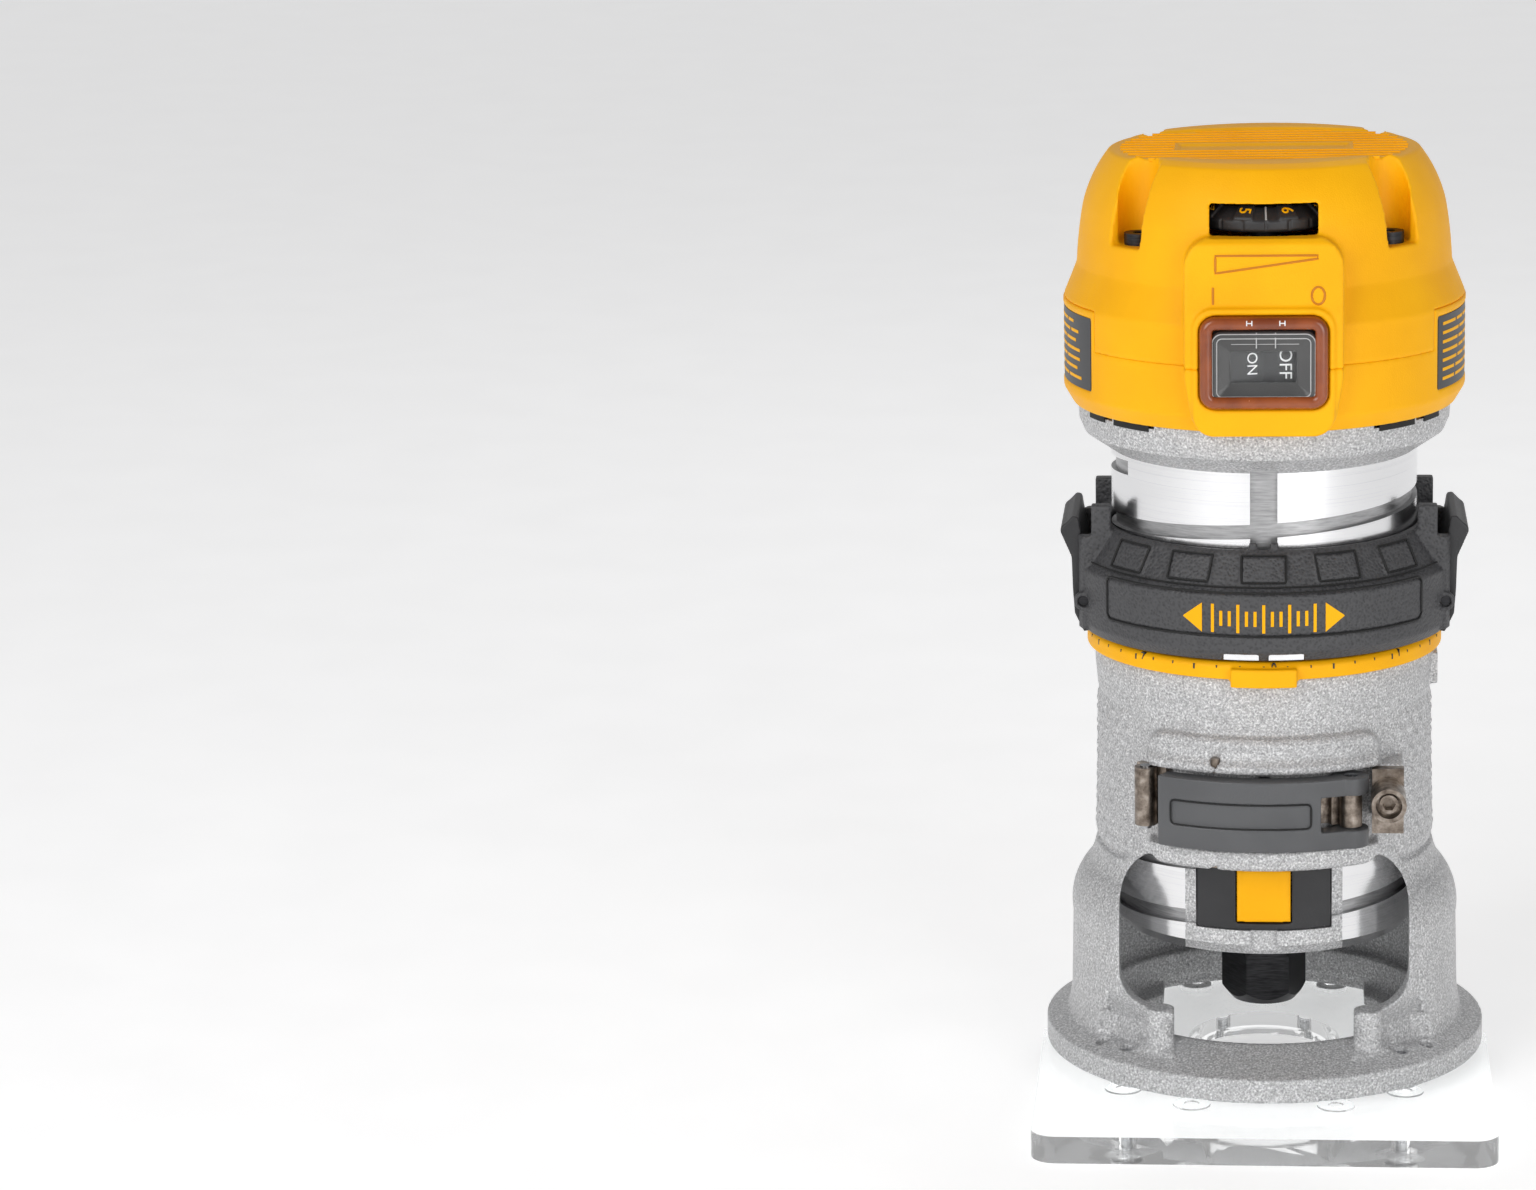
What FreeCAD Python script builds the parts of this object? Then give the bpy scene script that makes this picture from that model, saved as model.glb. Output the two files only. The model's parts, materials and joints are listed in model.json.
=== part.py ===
"""Fixed-base trim router: a motor unit in a casting that stands on a clear D-shaped sub-base.

Frame: +Z up, origin on the spindle axis at the underside of the sub-base, -Y towards the
front of the tool (switch, clamp lever and window), +X to the right. Millimetres.
Azimuths are degrees about the spindle axis from the front, positive towards +X.
"""
import FreeCAD
import Part
import math
import os
import Sketcher

SIZES = {
    # motor unit
    "motor_radius": 34.5,
    "motor_bore": 30.5,
    "motor_bottom": 35.7,
    "motor_chamfer_top": 38.2,
    "motor_neck": 146.7,
    "flange_radius": 41.9,
    "flange_top": 158.0,
    "groove_lead": 12.7,
    "groove_width": 3.2,
    "groove_depth": 1.1,
    "groove_front": 133.7,
    "key_width": 6.0,
    "key_depth": 1.2,
    # cap
    "cap_top": 214.9,
    "cap_radius": 45.0,
    "cap_bottom": 157.4,
    "cap_wall": 2.6,
    "parting_level": 172.2,
    "side_parting_level": 181.2,
    "screw_circle": 35.6,
    "screw_azimuth": 50.0,
    "screw_seat": 196.0,
    "panel_half_width": 17.2,
    "switch_half_width": 11.0,
    "switch_low": 165.4,
    "switch_high": 180.8,
    "bezel_half_width": 14.0,
    "bezel_low": 163.4,
    "bezel_high": 184.0,
    "dial_window_half_width": 11.75,
    "dial_low": 200.0,
    "dial_high": 207.0,
    "dial_radius": 15.0,
    "dial_offset": 23.5,
    # depth ring
    "ring_radius": 43.3,
    "ring_bore": 34.9,
    "ring_low": 106.0,
    "ring_shoulder": 122.0,
    "ring_top": 130.0,
    "tab_half_width": 13.0,
    "tab_pivot_x": 40.4,
    "tab_pivot_z": 113.6,
    "tab_pin_radius": 1.2,
    # base casting
    "sleeve_bore": 34.56,
    "sleeve_radius": 38.2,
    "sleeve_top": 101.2,
    "neck_radius": 36.0,
    "lip_radius": 37.4,
    "lip_low": 107.6,
    "lip_top": 110.0,
    "leg_radius": 44.4,
    "leg_bore": 39.6,
    "foot_radius": 50.3,
    "foot_low": 6.2,
    "foot_edge": 11.6,
    "foot_crown": 16.0,
    "foot_opening": 31.0,
    "recess_low": 62.4,
    "recess_high": 80.0,
    "boss_radius": 42.3,
    "boss_half_width": 25.6,
    "foot_screw_x": 30.6,
    "foot_screw_y": 32.5,
    "rear_screw_x": 16.2,
    "rear_screw_y": 39.4,
    "accessory_x": 36.5,
    "accessory_y": 27.2,
    "pad_recess": 13.5,
    "brow_pin_x": 10.7,
    "brow_pin_y": 39.5,
    # clamp
    "lever_low": 63.1,
    "lever_high": 79.2,
    "lever_inner": 41.2,
    "lever_outer": 45.6,
    "lever_pin_x": 19.25,
    "lever_pin_y": 38.0,
    "lever_eye_radius": 4.0,
    "strap_low": 67.6,
    "strap_high": 75.0,
    "nut_x": 27.5,
    "nut_z": 73.9,
    # sub-base
    "plate_half_width": 51.2,
    "plate_front": 73.0,
    "plate_rear_radius": 49.8,
    "plate_corner": 5.5,
    "bushing_seat_radius": 17.46,
    "bushing_seat_depth": 2.4,
    "bushing_bore_radius": 15.08,
    # spindle
    "collet_bore": 3.175,
    "shaft_nose_radius": 7.5,
    "lock_level": 49.5,
    "lower_bearing_low": 57.0,
    "lower_bearing_high": 66.0,
    "upper_bearing_low": 151.0,
    "upper_bearing_high": 158.0,
    "rotor_low": 90.0,
    "rotor_high": 125.0,
    "rotor_radius": 16.8,
    "commutator_low": 133.5,
    "commutator_high": 145.0,
}

doc = FreeCAD.newDocument("trim_router")
sheet = doc.addObject("Spreadsheet::Sheet", "Sizes")
for row, (word, number) in enumerate(SIZES.items(), start=1):
    sheet.set(f"A{row}", word)
    sheet.set(f"B{row}", str(number))
    sheet.setAlias(f"B{row}", word)
doc.recompute()

nodes = {}


class Size:
    """A length from the sheet, or one worked out from it, together with its expression."""

    def __init__(self, value, text):
        self.value = float(value)
        self.text = text

    def __add__(self, other):
        return Size(self.value + number_of(other), f"({self.text} + {text_of(other)})")

    def __sub__(self, other):
        return Size(self.value - number_of(other), f"({self.text} - {text_of(other)})")

    def __rsub__(self, other):
        return Size(number_of(other) - self.value, f"({text_of(other)} - {self.text})")

    def __mul__(self, other):
        return Size(self.value * number_of(other), f"({self.text} * {text_of(other)})")

    def __truediv__(self, other):
        return Size(self.value / number_of(other), f"({self.text} / {text_of(other)})")

    def __neg__(self):
        return Size(-self.value, f"(0 - {self.text})")

    __radd__ = __add__
    __rmul__ = __mul__


def number_of(length):
    return length.value if isinstance(length, Size) else float(length)


def text_of(length):
    return length.text if isinstance(length, Size) else f"({float(length)!r})"


def size(word):
    return Size(sheet.get(word), f"Sizes.{word}")


def bind(thing, path, length):
    """Set a property to a number, or tie it to the sheet."""
    if isinstance(length, Size):
        thing.setExpression(path, length.text)
    elif "." not in path:
        setattr(thing, path, float(length))
    elif length:
        thing.setExpression(path, text_of(length))


def move(thing, x=0, y=0, z=0, turn=None):
    """Place a primitive; turn is an optional rotation."""
    spot = FreeCAD.Vector(number_of(x), number_of(y), number_of(z))
    thing.Placement = FreeCAD.Placement(spot, turn or FreeCAD.Rotation())
    for letter, length in (("x", x), ("y", y), ("z", z)):
        if isinstance(length, Size):
            thing.setExpression(f"Placement.Base.{letter}", length.text)
    return thing


def yaw(angle):
    return FreeCAD.Rotation(FreeCAD.Vector(0, 0, 1), angle)


def around(radius, azimuth):
    """X and Y of a point at a radius and azimuth."""
    angle = math.radians(azimuth)
    return radius * math.sin(angle), radius * -math.cos(angle)


def cylinder(radius, low, high, x=0, y=0):
    piece = doc.addObject("Part::Cylinder", "Cylinder")
    bind(piece, "Radius", radius)
    bind(piece, "Height", high - low)
    return move(piece, x, y, low)


def sector(radius, low, high, start, end):
    """A wedge of a cylinder between two azimuths."""
    piece = cylinder(radius, low, high)
    piece.Angle = end - start
    return move(piece, 0, 0, low, yaw(start - 90))


def bar(radius, start, end, axis, across, level):
    """A cylinder along x or y between two stations; across is its other plan coordinate."""
    piece = doc.addObject("Part::Cylinder", "Bar")
    bind(piece, "Radius", radius)
    bind(piece, "Height", end - start)
    if axis == "x":
        return move(piece, start, across, level, FreeCAD.Rotation(FreeCAD.Vector(0, 1, 0), 90))
    return move(piece, across, start, level, FreeCAD.Rotation(FreeCAD.Vector(1, 0, 0), -90))


def spoke(radius, start, end, azimuth, level):
    """A cylinder pointing outwards at an azimuth, between two distances from the axis."""
    piece = doc.addObject("Part::Cylinder", "Spoke")
    bind(piece, "Radius", radius)
    bind(piece, "Height", end - start)
    x, y = around(number_of(start), azimuth)
    lay_down = FreeCAD.Rotation(FreeCAD.Vector(0, 1, 0), 90)
    return move(piece, x, y, level, yaw(azimuth - 90).multiply(lay_down))


def box(x_low, x_high, y_low, y_high, z_low, z_high, azimuth=0):
    piece = doc.addObject("Part::Box", "Box")
    bind(piece, "Length", x_high - x_low)
    bind(piece, "Width", y_high - y_low)
    bind(piece, "Height", z_high - z_low)
    if not azimuth:
        return move(piece, x_low, y_low, z_low)
    corner = yaw(azimuth).multVec(FreeCAD.Vector(number_of(x_low), number_of(y_low), 0))
    return move(piece, corner.x, corner.y, z_low, yaw(azimuth))


def block(half_width, y_low, y_high, z_low, z_high):
    """A box centred on X = 0."""
    return box(-half_width, half_width, y_low, y_high, z_low, z_high)


def prism(flats, low, high, turn=0.0):
    """A hexagonal prism on the spindle axis, measured across its flats."""
    piece = doc.addObject("Part::Prism", "Prism")
    piece.Polygon = 6
    piece.Circumradius = flats / math.sqrt(3)
    bind(piece, "Height", high - low)
    return move(piece, 0, 0, low, yaw(turn))


def boolean(kind, pieces):
    result = doc.addObject(kind, kind.split("::Multi")[-1])
    result.Shapes = pieces
    return result


def fuse(*pieces):
    return boolean("Part::MultiFuse", list(pieces))


def common(*pieces):
    return boolean("Part::MultiCommon", list(pieces))


def cut(base, *tools):
    result = doc.addObject("Part::Cut", "Cut")
    result.Base = base
    result.Tool = tools[0] if len(tools) == 1 else fuse(*tools)
    return result


def compound(*pieces):
    result = doc.addObject("Part::Compound", "Group")
    result.Links = list(pieces)
    return result


def mirror(piece):
    """A copy on the other side of the YZ plane."""
    result = doc.addObject("Part::Mirroring", "Mirror")
    result.Source = piece
    result.Normal = FreeCAD.Vector(1, 0, 0)
    return result


def node(name, piece):
    """Name the object that is a finished sub-part."""
    piece.Label = name
    nodes[name] = piece
    return piece


def arc_between(first, last, radius):
    """The arc from one corner to the next; a positive radius runs anticlockwise."""
    chord = last - first
    reach = math.sqrt(radius * radius - chord.Length * chord.Length / 4)
    side = FreeCAD.Vector(-chord.y, chord.x, 0).normalize() * math.copysign(reach, radius)
    centre = (first + last) / 2 + side
    circle = Part.Circle(centre, FreeCAD.Vector(0, 0, 1), abs(radius))
    begin, end = (first, last) if radius > 0 else (last, first)
    angles = [math.atan2(spot.y - centre.y, spot.x - centre.x) for spot in (begin, end)]
    if angles[1] < angles[0]:
        angles[1] += 2 * math.pi
    return Part.ArcOfCircle(circle, angles[0], angles[1])


def pin_point(sketch, geometry, end, x, y):
    """Hold a sketch point at x, y from the origin, tied to the sheet where they are Sizes."""
    for kind, axis, length in (("DistanceX", -2, x), ("DistanceY", -1, y)):
        if number_of(length) == 0:
            sketch.addConstraint(Sketcher.Constraint("PointOnObject", geometry, end, axis))
            continue
        held = Sketcher.Constraint(kind, -1, 1, geometry, end, number_of(length))
        index = sketch.addConstraint(held)
        if isinstance(length, Size):
            sketch.setExpression(f"Constraints[{index}]", length.text)


def sketch_on(body, role):
    sketch = body.newObject("Sketcher::SketchObject", "Sketch")
    plane = [item for item in body.Origin.OriginFeatures if item.Role == role][0]
    sketch.AttachmentSupport = [(plane, "")]
    sketch.MapMode = "FlatFace"
    return sketch


def outline(sketch, corners):
    """Close a loop through corners (x, y) or (x, y, radius of the arc to the next corner)."""
    spots = [FreeCAD.Vector(number_of(c[0]), number_of(c[1]), 0) for c in corners]
    first = sketch.GeometryCount
    ends = []
    for index, corner in enumerate(corners):
        begin, finish = spots[index], spots[(index + 1) % len(corners)]
        if len(corner) == 2:
            sketch.addGeometry(Part.LineSegment(begin, finish))
            ends.append((1, 2))
        else:
            sketch.addGeometry(arc_between(begin, finish, corner[2]))
            ends.append((1, 2) if corner[2] > 0 else (2, 1))
    for index, corner in enumerate(corners):
        after = (index + 1) % len(corners)
        joined = (first + index, ends[index][1], first + after, ends[after][0])
        sketch.addConstraint(Sketcher.Constraint("Coincident", *joined))
    for index, corner in enumerate(corners):
        pin_point(sketch, first + index, ends[index][0], corner[0], corner[1])
        if len(corner) == 3:
            bend = Sketcher.Constraint("Radius", first + index, abs(corner[2]))
            sketch.addConstraint(bend)


def new_body():
    return doc.addObject("PartDesign::Body", "Body")


def revolve(corners):
    """A body of revolution about the spindle axis; corners are (radius, height)."""
    body = new_body()
    sketch = sketch_on(body, "XZ_Plane")
    outline(sketch, corners)
    feature = body.newObject("PartDesign::Revolution", "Revolution")
    feature.Profile = sketch
    feature.ReferenceAxis = (sketch, ["V_Axis"])
    feature.Angle = 360
    return body


def slab(role, corners, low, high):
    """A padded outline. Planes: XY_Plane (x, y), XZ_Plane (x, z) and YZ_Plane (y, z)."""
    body = new_body()
    sketch = sketch_on(body, role)
    outline(sketch, corners)
    start = -high if role == "XZ_Plane" else low
    sketch.AttachmentOffset = FreeCAD.Placement(
        FreeCAD.Vector(0, 0, number_of(start)), FreeCAD.Rotation())
    if isinstance(start, Size):
        sketch.setExpression("AttachmentOffset.Base.z", start.text)
    feature = body.newObject("PartDesign::Pad", "Pad")
    feature.Profile = sketch
    bind(feature, "Length", high - low)
    return body


def rounded(half, low, high, radius):
    """Corners of an upright rectangle about the centre line, with rounded corners."""
    return [
        (radius - half, low), (half - radius, low, radius), (half, low + radius),
        (half, high - radius, radius), (half - radius, high), (radius - half, high, radius),
        (-half, high - radius), (-half, low + radius, radius)]


def shell_ring(outer, inner, low, high):
    """A plain ring on the spindle axis."""
    return revolve([(inner, low), (outer, low), (outer, high), (inner, high)])


def spring(radius, wire, low, high, turns, turn=None, x=0, y=0, z=0):
    """A helical coil whose own axis is Z before it is turned and moved."""
    helix = doc.addObject("Part::Helix", "Helix")
    helix.Pitch = (high - low) / turns
    helix.Height = high - low
    helix.Radius = radius
    ring = doc.addObject("Part::Circle", "Circle")
    ring.Radius = wire / 2
    ring.Placement = FreeCAD.Placement(
        FreeCAD.Vector(radius, 0, 0), FreeCAD.Rotation(FreeCAD.Vector(1, 0, 0), 90))
    doc.recompute()
    sweep = doc.addObject("Part::Sweep", "Coil")
    sweep.Sections = [ring]
    sweep.Spine = (helix, ["Edge1"])
    sweep.Solid = True
    sweep.Frenet = True
    base = (turn or FreeCAD.Rotation()).multVec(FreeCAD.Vector(0, 0, low))
    sweep.Placement = FreeCAD.Placement(
        FreeCAD.Vector(x, y, z) + base, turn or FreeCAD.Rotation())
    return sweep


# ---------------------------------------------------------------- base casting
def make_base_casting():
    bore = size("sleeve_bore")
    neck = size("neck_radius")
    wall = revolve([
        (size("leg_radius") + 0.8, 9.0),
        (size("leg_radius") + 0.8, 14.0),
        (size("leg_radius"), 19.0),
        (size("leg_radius") - 0.4, 37.0, 14.0),
        (40.2, 49.3, -16.0),
        (size("sleeve_radius") + 0.1, 57.0),
        (size("sleeve_radius") - 0.6, 88.0),
        (size("sleeve_radius") + 0.2, 97.0),
        (size("sleeve_radius") + 0.2, size("sleeve_top")),
        (neck, size("sleeve_top")),
        (neck, size("lip_low")),
        (size("lip_radius"), size("lip_low")),
        (size("lip_radius"), size("lip_top")),
        (bore, size("lip_top")),
        (bore, 48.0),
        (size("leg_bore"), 42.0),
        (size("leg_bore"), 9.0),
    ])
    window = slab("XZ_Plane", [
        (-20.2, 9.0), (20.2, 9.0), (20.2, 23.0), (26.6, 23.4, 7.5), (32.6, 31.0),
        (32.6, 44.0, 16.0), (26.0, 57.6), (-26.0, 57.6, 16.0), (-32.6, 44.0),
        (-32.6, 31.0, 7.5), (-26.6, 23.4), (-20.2, 23.0),
    ], -60.0, -14.0)
    foot = revolve([
        (size("foot_opening"), size("foot_low")),
        (size("foot_radius"), size("foot_low")),
        (size("foot_radius"), size("foot_edge")),
        (38.2, size("foot_crown")),
        (36.5, size("foot_crown")),
        (36.5, 9.0),
        (size("foot_opening"), 9.0),
    ])
    web_slope = common(
        revolve([
            (41.0, 18.5), (42.2, 15.9), (44.6, 14.3), (56.0, 14.0), (56.0, 32.0), (44.9, 27.0)]),
        fuse(sector(60.0, 10.0, 40.0, 20.0, 54.0), sector(60.0, 10.0, 40.0, -54.0, -20.0)))
    post_x = 23.3
    posts = [cylinder(3.2, 10.0, 23.6, x, -34.6) for x in (-post_x, post_x)]
    boss = common(
        revolve([
            (36.0, 57.6), (size("boss_radius") - 0.8, 57.6), (size("boss_radius"), 58.6),
            (size("boss_radius"), 81.4), (40.9, 82.9), (40.3, 84.6), (40.6, 86.1), (39.6, 87.5),
            (36.0, 87.5),
        ]),
        slab("XZ_Plane", rounded(size("boss_half_width"), 57.6, 87.5, 4.0), -45.0, -24.0))
    recess = cut(
        cylinder(50.0, size("recess_low"), size("recess_high")),
        cylinder(size("sleeve_radius") + 0.05, size("recess_low"), size("recess_high")))
    front_recess = common(recess, box(-31.0, 34.0, -50.0, -20.0, 60.0, 82.0))
    ear = box(24.2, 31.0, -32.0, -23.0, 68.0, 80.0)
    index_boss = box(35.0, 39.2, -7.5, 0.5, 92.1, 99.6)
    body = fuse(cut(wall, window, web_slope), foot, *posts, cut(boss, front_recess), ear, index_boss)
    rear_opening = common(
        cylinder(size("leg_bore"), 6.0, 9.5), block(23.6, 14.0, 40.0, 6.0, 9.5))
    holes = []
    for side in (-1, 1):
        for x, y in ((size("foot_screw_x") * side, -size("foot_screw_y")),
                     (size("rear_screw_x") * side, size("rear_screw_y"))):
            holes.append(cylinder(1.7, 6.0, 20.0 if y.value < 0 else 13.0, x, y))
        x, y = size("foot_screw_x") * side, -size("foot_screw_y")
        holes.append(cylinder(3.2, size("pad_recess"), 20.0, x, y))
        x, y = size("accessory_x") * side, -size("accessory_y")
        holes.append(cylinder(3.2, size("pad_recess"), 20.0, x, y))
        holes.append(cylinder(1.65, 7.5, 20.0, x, y))
        start, end = sorted((43.3 * side, 53.3 * side))
        holes.append(cut(
            sector(48.3, size("pad_recess"), 20.0, start, end), cylinder(41.9, 12.0, 21.0)))
    slot = block(1.5, -45.0, -30.0, 63.5, 78.5)
    motor_space = cylinder(bore, 46.0, 111.0)
    screw_hole = bar(2.15, -33.0, -25.5, "y", size("nut_x"), size("nut_z"))
    guide_holes = [spoke(2.55, 33.0, 37.0, 0, level) for level in (91.0, 104.2)]
    pin_hole = cylinder(1.0, 56.0, 84.0, -size("brow_pin_x"), -size("brow_pin_y"))
    return node("base_casting", cut(
        body, rear_opening, slot, motor_space, screw_hole, pin_hole, *holes, *guide_holes))


def make_sub_base():
    half = size("plate_half_width")
    front = size("plate_front")
    corner = size("plate_corner")
    rear = size("plate_rear_radius")
    turn = SIZES["plate_corner"]
    plate = slab("XY_Plane", [
        (corner - half, -front), (half - corner, -front, turn), (half, corner - front),
        (half, 1.0), (rear, 1.0, SIZES["plate_rear_radius"] + 0.012),
        (-rear, 1.0), (-half, 1.0), (-half, corner - front, turn),
    ], 0.0, size("foot_low"))
    tools = [
        cylinder(size("bushing_seat_radius"), -1.0, size("bushing_seat_depth")),
        cylinder(size("bushing_bore_radius"), -1.0, 8.0),
    ]
    screws = []
    for side in (-1, 1):
        for x, y in ((size("foot_screw_x") * side, -size("foot_screw_y")),
                     (size("rear_screw_x") * side, size("rear_screw_y"))):
            tools.append(cylinder(4.0, -1.0, 3.0, x, y))
            tools.append(cylinder(2.1, -1.0, 8.0, x, y))
            head = cylinder(3.6, 0.7, 3.0, x, y)
            drive = cylinder(1.3, 0.0, 1.9, x, y)
            screws.append(cut(fuse(head, cylinder(1.62, 2.0, 12.4, x, y)), drive))
    node("sub_base", cut(plate, *tools))
    node("sub_base_screws", compound(*screws))


def make_guide_pins():
    pins = [spoke(2.5, 33.6, 36.0, 0, level) for level in (91.0, 104.2)]
    node("guide_pins", compound(*pins))


def make_clamp():
    low, high = size("lever_low"), size("lever_high")
    pin_x, pin_y = size("lever_pin_x"), -size("lever_pin_y")
    eye = size("lever_eye_radius")
    plate = cut(
        sector(size("lever_outer"), low, high, -31.0, 24.5),
        cylinder(size("lever_inner"), low, high))
    knuckle = cylinder(eye, low, high, pin_x, pin_y)
    strap_space = box(
        12.6, 30.0, -50.0, -30.0, size("strap_low") - 0.3, size("strap_high") + 0.3)
    face_recess = cut(
        sector(50.0, 68.6, 73.9, -27.2, 13.2), cylinder(size("lever_outer") - 0.5, 60.0, 85.0))
    node("clamp_lever", cut(
        fuse(plate, knuckle), strap_space, face_recess,
        cylinder(1.55, 60.0, 85.0, pin_x, pin_y)))
    node("lever_pin", cylinder(1.5, low + 0.4, high - 0.4, pin_x, pin_y))
    strap_low, strap_high = size("strap_low"), size("strap_high")
    inner = size("sleeve_radius") + 0.1
    band = cut(
        sector(inner + 0.8, strap_low, strap_high, -43.5, 24.0),
        cylinder(inner, strap_low, strap_high))
    curl = cut(
        sector(40.9, strap_low, strap_high, 21.5, 26.0), cylinder(inner, strap_low, strap_high))
    eye_ring = cylinder(2.5, strap_low, strap_high, pin_x, pin_y)
    node("clamp_strap", cut(
        fuse(band, curl, eye_ring), cylinder(1.53, 60.0, 85.0, pin_x, pin_y)))
    bracket_inner = inner + 0.85
    bracket_plate = cut(
        sector(bracket_inner + 1.6, 66.3, 79.6, -44.0, -32.2),
        cylinder(bracket_inner, 60.0, 85.0))
    bracket_x, bracket_y = around(42.2, -38.5)
    barrel = cylinder(2.5, 66.3, 79.6, bracket_x, bracket_y)
    notch = spoke(2.0, 38.0, 46.0, -32.2, 73.4)
    pin_space = cylinder(1.33, 60.0, 85.0, bracket_x, bracket_y)
    node("clamp_bracket", cut(fuse(bracket_plate, barrel), notch, pin_space))
    node("bracket_pin", cylinder(1.3, 65.4, 79.9, bracket_x, bracket_y))
    brow_x, brow_y = -size("brow_pin_x"), -size("brow_pin_y")
    node("brow_pins", compound(
        cylinder(0.97, 58.2, 62.3, brow_x, brow_y), cylinder(0.97, 80.1, 83.3, brow_x, brow_y)))
    nut_x, nut_z = size("nut_x"), size("nut_z")
    node("clamp_bar", cut(
        box(24.0, 31.0, -35.0, -32.1, 64.8, 79.6),
        bar(2.3, -36.0, -30.0, "y", nut_x, nut_z)))
    node("adjusting_nut", cut(
        bar(3.85, -45.0, -35.1, "y", nut_x, nut_z),
        bar(2.9, -46.0, -42.0, "y", nut_x, nut_z),
        bar(2.15, -46.0, -34.0, "y", nut_x, nut_z)))
    rod = bar(2.1, -43.6, -26.0, "y", nut_x, nut_z)
    node("adjusting_screw", cut(rod, socket_of(nut_x, nut_z)))


def socket_of(x, level):
    """The hexagonal key socket in the end of the adjusting screw."""
    socket = doc.addObject("Part::Prism", "Socket")
    socket.Polygon = 6
    socket.Circumradius = 1.5
    socket.Height = 2.6
    return move(socket, x, -41.2, level, FreeCAD.Rotation(FreeCAD.Vector(1, 0, 0), 90))


# ---------------------------------------------------------------- depth and scale rings
def grip_pads():
    """Raised pads round the ring's conical shoulder, left out beside the release tabs."""
    band = revolve([
        (39.0, 123.3), (41.1, 123.3), (41.6, 123.6), (38.5, 129.1), (37.9, 128.8), (37.0, 127.0)])
    pitch, width = 24, 15
    sectors = []
    for azimuth in range(-7 * pitch, 8 * pitch, pitch):
        if abs(abs(azimuth) - 90) > 24:
            start, end = azimuth - width / 2, azimuth + width / 2
            sectors.append(sector(43.0, 122.0, 130.0, start, end))
    return common(band, fuse(*sectors))


def make_depth_ring():
    outer, bore = size("ring_radius"), size("ring_bore")
    ring = revolve([
        (38.2, size("ring_low")),
        (outer - 1.6, size("ring_low")),
        (outer, size("ring_low") + 2.4),
        (outer, size("ring_shoulder") - 1.2),
        (outer - 1.2, size("ring_shoulder")),
        (outer - 1.9, size("ring_shoulder") + 0.8),
        (37.6, size("ring_top") - 0.6),
        (36.6, size("ring_top")),
        (bore, size("ring_top") - 0.4),
        (bore, 111.4),
        (38.2, 111.4),
    ])
    side, pivot_x, pivot_z = size("tab_half_width"), size("tab_pivot_x"), size("tab_pivot_z")
    frame = cut(
        common(
            cylinder(outer + 0.5, 107.0, 128.5),
            box(-50.0, 50.0, -side - 3.4, side + 3.4, 100.0, 132.0)),
        cylinder(39.0, 100.0, 132.0))
    lugs = []
    for x_low, x_high in ((-38.6, -34.2), (34.2, 38.6)):
        for y_low, y_high in ((-16.6, -13.4), (13.4, 16.6)):
            lugs.append(box(x_low, x_high, y_low, y_high, 126.0, 135.6))
    pockets = []
    for x in (-1, 1):
        low, high = (37.3, 50.0) if x > 0 else (-50.0, -37.3)
        pockets.append(box(low, high, -side - 0.4, side + 0.4, 100.0, 140.0))
        low, high = (35.5, 50.0) if x > 0 else (-50.0, -35.5)
        pockets.append(box(low, high, -side - 0.4, side + 0.4, 100.0, 111.4))
    lead = SIZES["groove_lead"]
    stations = [(azimuth, SIZES["groove_front"] - lead + lead * azimuth / 360)
                for azimuth in (-120, 0, 120)]
    pin_holes = [spoke(1.42, 30.0, 37.0, azimuth, level) for azimuth, level in stations]
    pivots = []
    pins = []
    coils = []
    for x in (-1, 1):
        radius = size("tab_pin_radius")
        pivots.append(bar(radius + 0.02, -18.0, 18.0, "y", pivot_x * x, pivot_z))
        pins.append(bar(radius, -side - 3.2, side + 3.2, "y", pivot_x * x, pivot_z))
        coils.append(cut(
            bar(2.2, -3.0, 3.0, "y", pivot_x * x, pivot_z),
            bar(radius + 0.05, -4.0, 4.0, "y", pivot_x * x, pivot_z)))
    node("depth_ring", cut(
        fuse(ring, frame, grip_pads(), *lugs), *pockets, *pivots, *pin_holes,
        cylinder(bore, 100.0, 140.0)))
    node("ring_pins", compound(*[
        spoke(1.4, 33.6, 36.6, azimuth, level) for azimuth, level in stations]))
    node("tab_pins", compound(*pins))
    node("tab_springs", compound(*coils))


def make_release_tab(name, side):
    half, pivot_x, pivot_z = size("tab_half_width"), size("tab_pivot_x"), size("tab_pivot_z")
    plate = slab("XZ_Plane", [
        (36.0, 106.2), (38.4, 105.9), (40.6, 105.7), (42.6, 110.0), (43.0, 116.0), (43.2, 123.0),
        (45.6, 128.6, 1.6), (44.6, 130.6), (42.9, 132.4), (41.6, 132.2), (40.9, 128.0),
        (39.4, 122.0), (38.4, 116.0), (38.3, 112.2), (39.0, 110.2), (39.0, 107.3),
        (36.0, 107.3),
    ], -half, half)
    hook_space = cylinder(size("neck_radius") + 0.4, 100.0, 140.0)
    ring_space = cylinder(38.4, 107.3, 140.0)
    spring_space = bar(2.6, -3.4, 3.4, "y", pivot_x, pivot_z)
    pin_space = bar(size("tab_pin_radius") + 0.04, -20.0, 20.0, "y", pivot_x, pivot_z)
    tab = cut(plate, hook_space, ring_space, spring_space, pin_space)
    node(name, tab if side > 0 else mirror(tab))


def make_scale_ring():
    ring = revolve([
        (36.3, size("sleeve_top")),
        (40.2, size("sleeve_top")),
        (40.2, 104.2),
        (39.4, 105.2),
        (36.3, 105.2),
    ])
    tab = cut(
        common(cylinder(42.0, 99.8, 104.0), block(7.3, -45.0, -30.0, 99.8, 104.0)),
        cylinder(38.9, 99.0, size("sleeve_top")),
        cylinder(36.3, 99.0, 106.0))
    node("scale_ring", fuse(ring, tab))


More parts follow.
